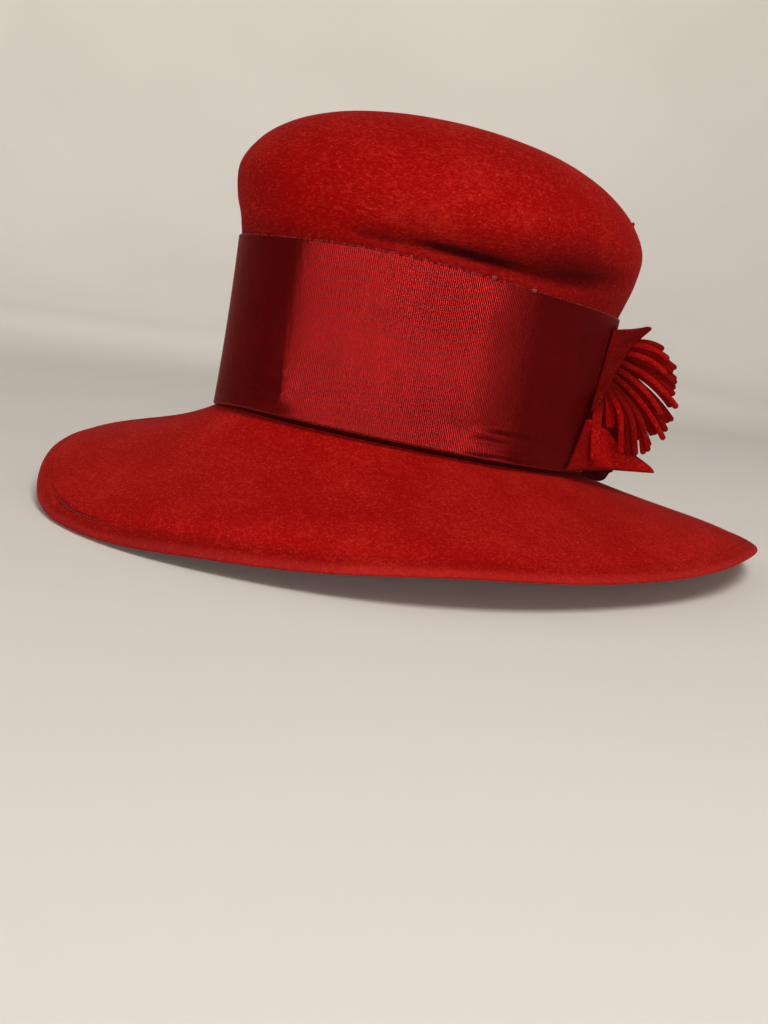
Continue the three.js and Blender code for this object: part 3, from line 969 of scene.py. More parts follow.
@dataclass
class Brim(Piece):
    """Wide felt brim with a folded and stitched hem.

    Attributes:
        reach: Nominal reach, which the edge table stretches.
        hem_width: Width of the folded hem.
        hem_wall: Thickness of the folded hem.
        collar_wall: Thickness of the collar inside the crown.
        collar_height: Height of that collar.
        roll_power: The higher, the narrower the stretch that rolls downwards.
        press_bend: How softly the felt bends where the table stops it.
        seam_gap: Clearance under the crown's lower edge.
        waves: Faint waves of the edge.
        pinched: Stretch at the back where the hem's groove is deepest.
        nipped: Stretch beside the flower where it is deeper.
        rubbed: Stretch at the back left where it is rubbed flat.
        groove_depth: Depth of the groove elsewhere.
        pinch: Depth that a pinch adds.
        rub: Depth that rubbing takes away.
        shaded: Stretch where more shade is painted on the edge.
        columns: Points round the brim.
        stitch_pitch: Distance between stitches of the hem.
        stitch_span: Share of that distance that a stitch spans.
        stitch_arch: Height of a stitch's arch.
        stitch_sink: How deep the stitches' line lies in the felt.
        thread: Radius of the sewing thread.
    """

    reach: float = 88.0
    hem_width: float = 7.0
    hem_wall: float = 3.6
    collar_wall: float = 2.0
    collar_height: float = 12.0
    roll_power: float = 7.0
    press_bend: float = 1.5
    seam_gap: float = 0.1
    waves: tuple[Wave, ...] = (Wave(0.40, 7, 0.4), Wave(0.28, 12, 2.0), Wave(0.24, 4))
    pinched: Stretch = Stretch(180.0, 11.0)
    nipped: Stretch = Stretch(46.0, 13.0)
    rubbed: Stretch = Stretch(208.0, 14.0)
    groove_depth: float = 0.09
    pinch: float = 0.46
    rub: float = 0.07
    shaded: Stretch = Stretch(158.0, 28.0)
    columns: int = 520
    stitch_pitch: float = 3.1
    stitch_span: float = 0.80
    stitch_arch: float = 0.24
    stitch_sink: float = 0.72
    thread: float = 0.26

    def edge_table(self) -> Array:
        """Edge every 30 degrees from the front by the right and back: reach, lift, first slope, roll."""
        return np.array([
            (88.0, -3.0, 1.30, 5.0),
            (92.5, 5.5, 1.30, 5.0),
            (93.0, 13.5, 1.30, 6.0),
            (92.5, 12.0, 1.25, 6.0),
            (98.0, 12.0, 1.30, 6.0),
            (89.5, 4.0, 1.60, 14.0),
            (88.0, -3.0, 1.60, 14.0),
            (85.0, 10.0, 1.75, 12.0),
            (97.0, 15.0, 1.50, 8.0),
            (92.5, 12.0, 1.25, 6.0),
            (93.0, 13.5, 1.30, 6.0),
            (92.5, 5.5, 1.30, 5.0),
        ])

    def middle(self, azimuth: Array, beyond: Array) -> Array:
        """Middle of the felt at distances beyond the crown's wall.

        The felt falls from the leaning headline on a parabola, rolls downwards near its edge, and is
        pressed flat where it would lie below the table.

        Args:
            azimuth: Azimuths, one a column.
            beyond: Distances, one a row.

        Returns:
            Rows by columns of points on the table.
        """
        form = self.form
        seam = np.array(-form.felt / 2 - self.seam_gap)
        half_length, half_width = form.section_at(seam)
        base = form.on_table(form.oval(azimuth, half_length, half_width, seam))
        edge = catmull_rom(self.edge_table(), azimuth / (2 * math.pi), closed=True)
        reach, lift, first_slope, roll = np.moveaxis(edge, -1, 0)
        share = beyond[:, None] / self.reach
        fall = first_slope * share + (1 - first_slope) * share**2
        end = lift + self.hem_wall / 2 + roll
        height = lerp(base[:, 2], end, fall) - roll * share**self.roll_power
        height = height + total(self.waves, azimuth) * share**2 * smoothstep(lift, 1.0, 8.0)
        out = np.stack([-np.sin(azimuth), -np.cos(azimuth)], axis=-1)
        flat = base[None, :, :2] + out[None] * (share * reach)[..., None]
        rest = self.hem_wall / 2
        height = rest + self.press_bend * np.logaddexp(0.0, (height - rest) / self.press_bend)
        return np.concatenate([flat, height[..., None]], axis=-1)

    def groove(self, azimuth: Array) -> Array:
        """Depth of the hem's groove: faint, deeper where it is pinched and least where it is rubbed."""
        pinched = self.pinched.at(azimuth) + 0.4 * self.nipped.at(azimuth)
        return self.groove_depth + self.pinch * pinched - self.rub * self.rubbed.at(azimuth)

    def profile(self) -> tuple[Array, Array, Array]:
        """Section of felt and hem from the crown over the edge and back.

        Returns:
            Distance beyond the crown, offset from the middle of the felt, and share of the groove.
        """
        half_felt, half_hem = self.form.felt / 2, self.hem_wall / 2
        hem_start = self.reach - self.hem_width
        felt = np.linspace(0.0, hem_start - 2.0, 46)
        felt = np.concatenate([felt, np.linspace(hem_start - 1.6, hem_start, 5)])
        bead = np.concatenate([hem_start + np.array([0.25, 0.5, 0.8, 1.2, 1.7, 2.3]),
                               np.linspace(hem_start + 3.0, self.reach - half_hem, 4)])
        groove = np.exp(-(((felt - hem_start) / 0.7) ** 2))
        puff = np.sqrt(np.clip((bead - hem_start) / 2.4, 0.0, 1.0))
        turn = np.linspace(math.pi / 2, -math.pi / 2, 15)[1:-1]
        top = np.concatenate([np.full_like(felt, half_felt), lerp(half_felt, half_hem, puff)])
        dip = np.concatenate([groove, 1.0 - puff])
        ahead = np.concatenate([felt, bead])
        beyond = np.concatenate([ahead, self.reach - half_hem + half_hem * np.cos(turn), ahead[::-1]])
        offset = np.concatenate([top, half_hem * np.sin(turn), -top[::-1]])
        return beyond, offset, np.concatenate([-dip, np.zeros_like(turn), dip[::-1]])

    def collar(self, azimuth: Array) -> Array:
        """Felt turned up inside the crown, from under the seam over its top and down to the seam again."""
        form = self.form
        outside = -form.felt - form.sewn_gap
        inside = outside - self.collar_wall
        half_felt = form.felt / 2
        tops = np.linspace(0.0, math.pi, 9)
        half_wall = self.collar_wall / 2
        inset = np.concatenate([
            [outside + 2.0, inside + 0.9, inside + 0.3, inside],
            np.full(8, inside),
            (inside + outside) / 2 - half_wall * np.cos(tops),
            np.full(8, outside),
            [outside + 0.2, outside + 0.8, outside + 1.8],
        ])
        rise = np.concatenate([
            [-half_felt, -half_felt, -half_felt + 0.3, -half_felt + 0.9],
            np.linspace(0.0, self.collar_height - half_wall, 8),
            self.collar_height - half_wall + half_wall * np.sin(tops),
            np.linspace(self.collar_height - half_wall, half_felt + 0.9, 8),
            [half_felt + 0.3, half_felt, half_felt],
        ])
        height = -half_felt - self.seam_gap + rise
        half_length, half_width = form.section_at(height)
        wide, narrow = half_length + inset, half_width + inset
        points = form.oval(azimuth[None, :], wide[:, None], narrow[:, None], height[:, None])
        return form.on_table(points)

    def skin(self, azimuth: Array, beyond: Array, offset: Array) -> tuple[Array, Array]:
        """Points at offsets square to the middle of the felt, and the directions of those offsets."""
        step, turn = 0.05, 1e-3
        middle = self.middle(azimuth, beyond)
        outwards = self.middle(azimuth, beyond + step) - self.middle(azimuth, beyond - step)
        turned = self.middle(azimuth + turn, beyond) - self.middle(azimuth - turn, beyond)
        upward = unit(np.cross(turned, outwards))
        upward = upward * np.where(upward[..., 2:3] < 0, -1.0, 1.0)
        return middle + upward * offset[..., None], upward

    def build(self, felt: bpy.types.Material, thread: bpy.types.Material) -> list[bpy.types.Object]:
        """The brim and the stitches along its hem."""
        azimuth = round_turn(self.columns)
        beyond, offset, dip = self.profile()
        skin, _ = self.skin(azimuth, beyond, offset[:, None] + dip[:, None] * self.groove(azimuth))
        skin[..., 2] = np.maximum(skin[..., 2], 0.0)
        collar = self.collar(azimuth)
        across = np.concatenate([beyond / self.reach, np.zeros(len(collar))])
        # Painted shade in the hem's groove and on the rolled edge, most on the stretch that shaded gives.
        painted_shade = np.concatenate([np.abs(dip), np.zeros(len(collar))])[:, None] * (1.5 * self.groove(azimuth))
        edge = 0.15 + 0.30 * self.shaded.at(azimuth)
        painted_shade = np.maximum(painted_shade, smoothstep(across, 0.89, 0.98)[:, None] * edge)
        uv = np.stack(np.broadcast_arrays(np.minimum(painted_shade, 0.85), across[:, None]), axis=-1)
        grid = Grid(np.concatenate([skin, collar]), uv=uv, loop=True)
        brim = self.hand_over(mesh_piece("brim_felt", [grid], felt), Slot.FELT, ["brim"])
        stitches = mesh_piece("brim_stitches", self.stitches(), thread)
        return [brim, self.hand_over(stitches, Slot.FELT)]

    def stitches(self) -> list[Grid]:
        """Short arched stitches in the hem's groove."""
        samples = 2880
        azimuth = np.linspace(0.0, 2 * math.pi, samples)
        place = np.array([self.reach - self.hem_width])
        depth = np.array([[self.form.felt / 2 - self.stitch_sink]])
        line, upward = (rows[0] for rows in self.skin(azimuth, place, depth))
        length = walked(line)
        count = int(length[-1] / self.stitch_pitch)
        pitch = length[-1] / count
        taper = np.array([0.45, 0.9, 1.0, 1.0, 1.0, 0.9, 0.45])
        span = np.linspace(-0.5, 0.5, len(taper))
        along = span * self.stitch_span
        where = (np.arange(count)[:, None] + along[None, :] + 0.5) * pitch
        centre = np.stack([np.interp(where, length, line[:, axis]) for axis in range(3)], axis=-1)
        rise = np.stack([np.interp(where, length, upward[:, axis]) for axis in range(3)], axis=-1)
        arch = self.stitch_arch * np.cos(span * math.pi) - 0.05
        tubes = thread_tubes(centre + rise * arch[None, :, None], rise, self.thread * taper, 8)
        tubes[..., 2] = np.maximum(tubes[..., 2], 0.02)
        return [Grid(tube, poles=(True, True)) for tube in tubes]


@dataclass
class Ribbon(Piece):
    """Broad ribbed ribbon that closes on itself under the flower.

    Attributes:
        ribs: Number of cords round the hat.
        rib_pitch: Distance from cord to cord.
        columns_per_rib: Points across one cord.
        rib_depth: Height of a cord.
        thread: Radius of the tacking thread.
        loose: How far the lower edge stands off further at the back.
        drop: How far the lower edge hangs down at the back on the left.
        dropped: Stretch where it hangs down.
        rise: How far the upper edge rises where the crown bulges least.
        raised: Stretch where it rises.
        curl: How far the lower edge turns out beside the flower.
        curled: Stretch where it turns out.
        bow: How far the band draws in between its edges.
        edge_round: Rounding of the edges.
        scallop: How far the cords' ends stand out along the edges.
        thinnest: Least thickness of the band in a dent.
        waves: Long faint waves of the band.
        ragged: Short waves of the upper edge.
        dents: Dents in the band.
        tacked: Azimuth in degrees and height of each group of tacks.
    """

    ribs: int = 660
    rib_pitch: float = 0.92
    columns_per_rib: int = 6
    rib_depth: float = 0.202
    thread: float = 0.32
    loose: float = 1.4
    drop: float = 3.8
    dropped: Stretch = Stretch(206.0, 22.0)
    rise: float = 2.6
    raised: Stretch = Stretch(134.0, 30.0)
    curl: float = 1.9
    curled: Stretch = Stretch(97.0, 9.0)
    bow: float = 0.62
    edge_round: float = 0.3
    scallop: float = 0.22
    thinnest: float = 0.1
    waves: tuple[Wave, ...] = (Wave(0.08, 8, 0.0, 0.01), Wave(0.03, 23, 1.0))
    ragged: tuple[Wave, ...] = (Wave(0.20, 197), Wave(0.16, 83, 1.0))
    dents: tuple[Fold, ...] = (
        Fold(164, 20, 0.35, 4.0, 5.0, -0.4),
        Fold(160, 9, -0.30, 4.0, 4.0),
        Fold(104, 14, 0.40, 9.0, 2.2, 0.12),
        Fold(99, 8.5, 0.45, 8.0, 2.0, 0.10),
        Fold(90, 13, -0.35, 9.0, 7.0, -0.3),
    )
    tacked: tuple[tuple[float, float], ...] = ((108.2, 84.3), (96.0, 83.2))

    def by_length(self, count: int) -> Array:
        """Azimuths that lie at equal distances along the middle of the ribbon."""
        samples, height = 7201, 45.0
        dense = np.linspace(0.0, 2 * math.pi, samples)
        line, _ = self.form.side(dense, np.full_like(dense, height), np.zeros_like(dense))
        length = walked(line)
        return np.interp(np.linspace(0.0, length[-1], count, endpoint=False), length, dense)

    def slack(self, azimuth: Array, height: Array) -> Array:
        """Slight slack of the band: long faint waves, and dents where it isn't pulled tight."""
        return total(self.waves, azimuth, height) - sum(dent.at(azimuth, height) for dent in self.dents)

    def edges(self, azimuth: Array) -> tuple[Array, Array, Array]:
        """Inside of the lower edge and of the upper edge, and the outward directions."""
        form = self.form
        turn = np.degrees(azimuth)
        loose = self.loose * smoothstep(turn, 95.0, 130.0) * (1 - smoothstep(turn, 210.0, 250.0))
        foot = form.ribbon_foot - self.drop * self.dropped.at(azimuth)
        low, out = form.side(azimuth, foot, form.sewn_gap + form.ribbon_flare + loose)
        top = form.ribbon_top + self.rise * self.raised.at(azimuth)
        high, _ = form.side(azimuth, top, np.full_like(azimuth, form.sewn_gap))
        return low, high, out

    def section(self) -> tuple[Array, Array]:
        """Points round the band's section: shares of its width and of its thickness, one a row."""
        edge = self.edge_round / self.form.ribbon_width
        face = np.concatenate([
            [edge, edge + 0.008],
            np.linspace(0.03, 0.30, 9),
            np.linspace(0.40, 0.96, 7),
            [0.992 - edge, 1.0 - edge],
        ])
        share = np.concatenate([face, [1.0, 1.0], [0.0, 0.0]])
        outer = np.concatenate([np.ones_like(face), [0.6, 0.0], [0.0, 0.6]])
        return share[:, None], outer[:, None]

    def build(self, satin: bpy.types.Material, thread: bpy.types.Material) -> list[bpy.types.Object]:
        """The ribbon, bowed in between its lower and its upper edge, and the tacks that hold it."""
        form = self.form
        azimuth = self.by_length(self.ribs * self.columns_per_rib)[None, :]
        half = self.columns_per_rib / 2
        off_ridge = (np.arange(azimuth.shape[1]) % self.columns_per_rib - half)[None, :] / half
        share, outer = self.section()
        on_edge = (outer > 0.1) & (outer < 0.9)
        scallop = self.scallop / form.ribbon_width * (0.5 - off_ridge**2) * on_edge
        ragged = total(self.ragged, azimuth) / form.ribbon_width
        share = share + scallop * np.where(share > 0.5, 1.0, -1.0)
        share = share + ragged * smoothstep(share, 0.95, 0.99)
        low, high, out = (rows[None, :] for rows in self.edges(azimuth[0]))
        points = lerp(low, high, share[..., None])
        cord = -self.rib_depth * np.abs(off_ridge) ** 2.6
        curl = self.curl * self.curled.at(azimuth) * smoothstep(-share, -0.04, 0.0)
        bow = -4.0 * self.bow * share * (1.0 - share)
        swell = self.slack(azimuth, points[..., 2]) + cord + curl + bow
        distance = outer * np.maximum(form.ribbon_wall + swell, self.thinnest)
        girth = np.linspace(0.0, self.ribs * self.rib_pitch, azimuth.shape[1])
        uv = np.stack(np.broadcast_arrays(girth[None, :], share * form.ribbon_width), axis=-1)
        grid = Grid(form.on_table(points + out * distance[..., None]), uv=uv, loop=True)
        ribbon = self.hand_over(mesh_piece("ribbon_satin", [grid], satin), Slot.SATIN, ["ribbon"])
        tacks = self.hand_over(mesh_piece("ribbon_tacks", self.tacks(), thread), Slot.SATIN)
        return [ribbon, tacks]

    def tacks(self) -> list[Grid]:
        """Small tacking stitches over the upper edge: loops of thread side by side."""
        grids = []
        share = np.linspace(0.0, 1.0, 12)
        lift = 1.1 + 0.75 * np.sin(math.pi * share)
        thick = self.thread * np.clip(4 * np.minimum(share, 1 - share) + 0.25, 0.0, 1.0)
        for middle, height in self.tacked:
            for slip in (-0.45, 0.0, 0.45):
                azimuth = np.radians(np.full_like(share, middle + slip))
                rise = height - 1.0 + 2.0 * share
                points = thread_tubes(*self.form.side(azimuth, rise, lift), thick, 10)
                grids.append(Grid(self.form.on_table(points), poles=(True, True)))
        return grids


@dataclass
class Leaf(Piece):
    """Pointed felt leaf ruled between an inner edge on the hat and an outer edge.

    Attributes:
        node: Node that it stands for.
        inner: Stations of the inner edge.
        outer: Stations of the outer edge.
        side: -1 for a leaf that mirrors the near one.
        arch: How far the far end of the leaf is hollowed between its corners.
        camber: How far the leaf bows out between its edges.
        wall: Thickness of the felt.
        blunt: How far the corner at the end of the outer edge is cut back.
        tip: Length over which that corner is rounded.
        tip_power: How full the rounding is.
        painted_shade: Share of painted shade along the inner edge.
    """

    node: str
    inner: Sequence[Station]
    outer: Sequence[Station]
    side: float = 1.0
    arch: float = 0.0
    camber: float = 0.8
    wall: float = 2.0
    blunt: float = 8.5
    tip: float = 8.0
    tip_power: float = 1.5
    painted_shade: float = 0.0

    def build(self, felt: bpy.types.Material) -> bpy.types.Object:
        """The leaf with rounded edges and corners."""
        place = np.concatenate([np.linspace(0.0, 0.9, 48), np.linspace(0.905, 1.0, 22)])
        inner = catmull_rom(self.form.seat(self.inner, self.side), place)
        outer = catmull_rom(self.form.seat(self.outer, self.side), place)
        across = unit(outer - inner)
        along = unit(np.gradient(inner, axis=0) + np.gradient(outer, axis=0))
        through = unit(np.cross(along, across))
        middle = (inner + outer) / 2
        half_width = np.linalg.norm(outer - inner, axis=1) / 2
        length = walked(middle)[-1]
        flat, out, up = stadium(22, 7)
        from_end = np.minimum(place, 1.0 - place) * length
        rounded = np.sqrt(1.0 - (1.0 - np.clip(from_end / (self.wall / 2), 0.03, 1.0)) ** 2)
        half_wall = self.wall / 2 * rounded
        straight = np.maximum(half_width - self.wall / 2, 0.0)
        u = straight[:, None] * flat + np.minimum(self.wall / 2, half_width)[:, None] * out
        to_tip = np.clip((1.0 - place) * length / self.tip, 0.0, 1.0)
        trim = self.blunt * (1.0 - (1.0 - (1.0 - to_tip) ** self.tip_power) ** (1 / self.tip_power))
        u = np.where(u > 0, u * (1.0 - np.minimum(trim / np.maximum(half_width, 1e-6), 0.9))[:, None], u)
        share = np.clip(u / np.maximum(half_width, 1e-6)[:, None], -1.0, 1.0)
        v = half_wall[:, None] * up + self.camber * (1 - share**2) * np.sin(math.pi * place)[:, None] ** 0.5
        hollow = self.arch * (1 - share**2) ** 2 * place[:, None] ** 6
        points = middle[:, None] + across[:, None] * u[..., None]
        points = points + through[:, None] * v[..., None] - along[:, None] * hollow[..., None]
        # Painted shade along the inner edge, carried in the UV.
        painted_shade = self.painted_shade * smoothstep(-share, -0.1, 0.7)
        grid = Grid(self.form.on_table(points), poles=(True, True), uv=np.stack([painted_shade, painted_shade], axis=-1))
        return self.hand_over(mesh_piece(self.node + "_felt", [grid], felt), Slot.FELT, [self.node])


@dataclass
class Fringe(Piece):
    """Felt strips that fan out from a backing and droop.

    Attributes:
        strips: Strips in each layer.
        layers: Sideways places of the layers.
        staggers: How far each layer's strips are set on, as shares of a strip's step.
        top_narrowing: How far the layers draw together at the top.
        angles: First and last angle above straight out, in degrees.
        lengths: First and last length.
        swell: Length added in the middle.
        droop: How far the strips bow upwards.
        bend_at: Share of the length at which they bow.
        angle_spread: Spread of the angles by chance, in degrees.
        length_spread: Least and greatest factor on the lengths by chance.
        stray: Spread of the ends by chance: sideways, up and out.
        twist_spread: Spread of the twists by chance, in radians.
        inner_reach: Sideways places below this lie inside the flower.
        inner_painted_shade: Share of painted shade on the strips there.
        sides: Points round a strip.
        strip_width: Width of a strip.
        strip_wall: Thickness of a strip.
        flap_width: Width of a broad strip.
        flap_wall: Thickness of a broad strip.
        pad_half_width: Half width of the backing.
        pad_top: Top of the backing.
        pad_bottom: Bottom of the backing.
        pad_wall: Thickness of the backing.
        pad_margin: Distance of the first and the last strip from its top and its bottom.
    """

    strips: int = 9
    layers: tuple[float, ...] = (-9.0, -3.0, 3.0, 9.0, 0.0)
    staggers: tuple[float, ...] = (0.0, 0.5, 0.0, 0.5, 0.15)
    top_narrowing: float = 0.45
    angles: tuple[float, float] = (-1.0, -84.0)
    lengths: tuple[float, float] = (25.5, 12.5)
    swell: float = 22.5
    droop: float = 6.8
    bend_at: float = 0.55
    angle_spread: float = 4.0
    length_spread: tuple[float, float] = (0.84, 1.06)
    stray: tuple[float, float, float] = (1.1, 0.6, 0.5)
    twist_spread: float = 0.16
    inner_reach: float = 5.0
    inner_painted_shade: float = 0.45
    sides: int = 20
    strip_width: float = 3.7
    strip_wall: float = 3.0
    flap_width: float = 4.9
    flap_wall: float = 1.8
    pad_half_width: float = 8.0
    pad_top: float = 30.0
    pad_bottom: float = -8.0
    pad_wall: float = 5.0
    pad_margin: float = 3.0

    def frame(self) -> tuple[Array, Array]:
        """Place of the flower and its three directions: sideways, up and out of the hat."""
        form = self.form
        azimuth = np.array([math.radians(form.flower_azimuth)])
        height = np.array([form.flower_height])
        lift = form.ribbon_stand_off(height) + form.ribbon_wall + form.sewn_gap
        point, normal = form.side(azimuth, height, lift)
        return point[0], np.stack([np.cross(PLUMB, normal[0]), PLUMB, normal[0]])

    def strip(self, centre: Array, sideways: Array, twist: float, width: float, wall: float,
              inner: float = 0.0) -> Grid:
        """One strip along a line, with a rounded end.

        Args:
            centre: Points of the line.
            sideways: Direction that the strip is broad in.
            twist: Turn of the end against the root, in radians.
            width: Width of the strip.
            wall: Thickness of the strip.
            inner: Share of painted shade on a strip that lies inside the flower.

        Returns:
            The strip, with painted shade at its root.
        """
        along = unit(np.gradient(centre, axis=0))
        through = unit(np.cross(along, sideways))
        across = unit(np.cross(through, along))
        turn = np.linspace(0.0, twist, len(centre))[:, None]
        broad = across * np.cos(turn) + through * np.sin(turn)
        deep = through * np.cos(turn) - across * np.sin(turn)
        u, v = squared_circle(round_turn(self.sides), 0.55)
        length = walked(centre)
        to_end = np.clip((length[-1] - length) / (self.strip_wall / 2), 0.02, 1.0)
        fat = np.sqrt(1.0 - (1.0 - to_end) ** 2)[:, None, None]
        section = broad[:, None] * (u * width / 2)[:, None] + deep[:, None] * (v * wall / 2)[:, None]
        # Painted shade at the root, which lies under the leaves and the other strips.
        root = 1.0 - smoothstep(length / length[-1], 0.05, 0.55)
        painted_shade = 1.0 - (1.0 - 0.6 * root) * (1.0 - inner)
        painted_shade = np.broadcast_to(painted_shade[:, None], (len(centre), self.sides))
        uv = np.stack([painted_shade, painted_shade], axis=-1)
        return Grid(centre[:, None] + section * fat, poles=(True, True), uv=uv)

    def fan(self) -> list[tuple[Array, float, float]]:
        """Lines of the fan's strips in the flower's frame.

        A strip is a parabola: it leaves the backing towards a point above its straight line and
        bends down to its end.

        Returns:
            The points of each line, with the strip's twist and share of painted shade.
        """
        chance = np.random.default_rng(SEED)
        place = np.concatenate([np.linspace(0.0, 0.94, 18), np.linspace(0.95, 1.0, 7)])[:, None]
        lines = []
        for layer, stagger in zip(self.layers, self.staggers):
            for number in range(self.strips):
                share = (number + stagger) / (self.strips - 0.5)
                angle = math.radians(lerp(*self.angles, share) + chance.normal(0.0, self.angle_spread))
                length = lerp(*self.lengths, share) + self.swell * math.sin(math.pi * share)
                length = length * chance.uniform(*self.length_spread)
                root = lerp(self.pad_top - self.pad_margin, self.pad_bottom + self.pad_margin, share)
                start = np.array([layer * lerp(self.top_narrowing, 1.0, share), root, self.pad_wall / 2])
                ahead = np.array([0.0, math.sin(angle), math.cos(angle)])
                stray = chance.normal(0.0, 1.0, 3) * self.stray
                end = start + ahead * length + stray
                bend = start + ahead * length * self.bend_at + (0.0, self.droop, 0.0)
                line = start * (1 - place) ** 2 + 2 * bend * place * (1 - place) + end * place**2
                twist = float(chance.normal(0.0, self.twist_spread))
                lines.append((line, twist, self.inner_painted_shade if abs(layer) < self.inner_reach else 0.0))
        return lines

    def build(self, felt: bpy.types.Material) -> bpy.types.Object:
        """The backing with its strips, and the strips that hang over the notch between the leaves."""
        origin, axes = self.frame()
        sideways, slanted = np.array([1.0, 0.0, 0.0]), np.array([0.3, 0.2, 1.0])
        size = (self.strip_width, self.strip_wall)
        grids = [self.strip(line, sideways, twist, *size, inner) for line, twist, inner in self.fan()]
        share = np.concatenate([np.linspace(0.0, 0.95, 24), np.linspace(0.96, 1.0, 7)])
        for stations in self.hanging():
            ends = (self.form.seat(stations) - origin) @ axes.T
            line = catmull_rom(ends, share, centripetal=True)
            grids.append(self.strip(line, slanted, 0.0, self.flap_width, self.flap_wall))
        for number, end in enumerate(self.tuft()):
            root = Station(10.0 - 0.8 * number, 5.0 + 0.8 * number, 3.0)
            bend = Station(end.turn + 0.5, -7.0, 0.72 * end.lift + 2.0)
            ends = (self.form.seat((root, bend, end)) - origin) @ axes.T
            line = catmull_rom(ends, share, centripetal=True)
            # Every second strip of the tuft gets painted shade.
            grids.append(self.strip(line, sideways, 0.1, *size, 0.4 * (number % 2)))
        grids.append(self.backing())
        for grid in grids:
            grid.points = self.form.on_table(grid.points @ axes + origin)
        return self.hand_over(mesh_piece("flower_fringe_felt", grids, felt), Slot.FELT, ["flower_fringe"])

    @staticmethod
    def hanging() -> Sequence[Sequence[Station]]:
        """Two broad flat strips that hang over the notch between the leaves."""
        return (
            course((10.5, 4.4, 2.7), (12.5, -5.5, 3.0), (20, -17, 7.9), (22.5, -31.5, 11.9)),
            course((8, 9.6, 1.9), (11, 2.4, 5.9), (13.5, -6.3, 9.5), (14.5, -14.5, 11.8)),
        )

    @staticmethod
    def tuft() -> Sequence[Station]:
        """Ends of the strips that hang steeply before the fan."""
        return course(
            (16, -26, 20),
            (14, -26.5, 23),
            (12, -26, 25),
            (15, -25, 27),
            (11, -24, 29),
            (13, -22, 32),
        )

    def backing(self) -> Grid:
        """Rounded felt pad behind the strips: a superellipse that shrinks to its two ends."""
        rows, columns = 40, 40
        rise = np.linspace(-1.0, 1.0, rows)
        across, through = squared_circle(round_turn(columns), 0.4)
        shrink = np.maximum(1.0 - np.abs(rise) ** 12, 0.02)[:, None] ** 0.5
        x = self.pad_half_width * across * shrink
        z = self.pad_wall / 2 * (1 + through * shrink)
        y = lerp(self.pad_bottom, self.pad_top, (rise + 1) / 2)[:, None]
        points = np.stack(np.broadcast_arrays(x, y, z), axis=-1)[:, ::-1]
        # The whole backing gets painted shade.
        return Grid(points, poles=(True, True), uv=np.full((*points.shape[:2], 2), 0.7))


def flower_leaves(form: HatForm) -> list[Leaf]:
    """The leaves of the flower; the two on its hidden flank mirror the near ones."""
    upper = (
        course((16.8, -9, 1.5), (14.0, 11.5, 1.5), (12.0, 33.7, 1.5)),
        course((14.5, -4, 3.6), (8.2, 14.2, 6), (3, 30, 10.4), (-2.6, 43.6, 21.4)),
    )
    lower = (
        course((19.6, -13, 1.5), (22.9, -25.3, 1.5), (27.1, -39, 1.5)),
        course((18.8, -12.4, 2.8), (13.8, -16.6, 10.6), (9, -25, 19.8), (2.2, -32.2, 40.0)),
    )
    under = (
        course((15, -35.5, 1.5), (8, -35, 8), (2, -35, 12.5)),
        course((15, -41, 1.5), (8, -42.5, 7.5), (3, -38.5, 12)),
    )
    tall = (
        course((-23.5, -4, 1.6), (-33, 32, 3.6), (-38, 68, 3.4), (-36, 98, 11)),
        course((-21.5, -4, 1.6), (-22, 32, 3.6), (-27.5, 68, 3.4), (-34.4, 99, 11)),
    )
    return [
        Leaf(form, "flower_leaf_upper", *upper, arch=2.2, blunt=11.0),
        Leaf(form, "flower_leaf_lower", *lower, arch=3.0, painted_shade=0.5),
        Leaf(form, "flower_leaf_under", *under, camber=0.5),
        Leaf(form, "flower_leaf_tall", *tall, camber=0.6),
        Leaf(form, "flower_leaf_far_upper", *upper, side=-1.0, arch=2.2, blunt=11.0),
        Leaf(form, "flower_leaf_far_lower", *lower, side=-1.0, arch=3.0),
    ]


# Studio


def sight(turn: float, elevation: float) -> Array:
    """Direction from the hat at a turn from the back towards the right and an elevation, in degrees."""
    around, rise = math.radians(turn), math.radians(elevation)
    level = math.cos(rise)
    return np.array([-math.sin(around) * level, math.cos(around) * level, math.sin(rise)])


def standing(right: Array, up: Array, back: Array, place: Array) -> Matrix:
    """Matrix of an object that faces away from its back at a place in metres."""
    turned = np.eye(4)
    turned[:3, :3] = np.stack([right, up, back], axis=1)
    turned[:3, 3] = place
    return Matrix(turned.tolist())


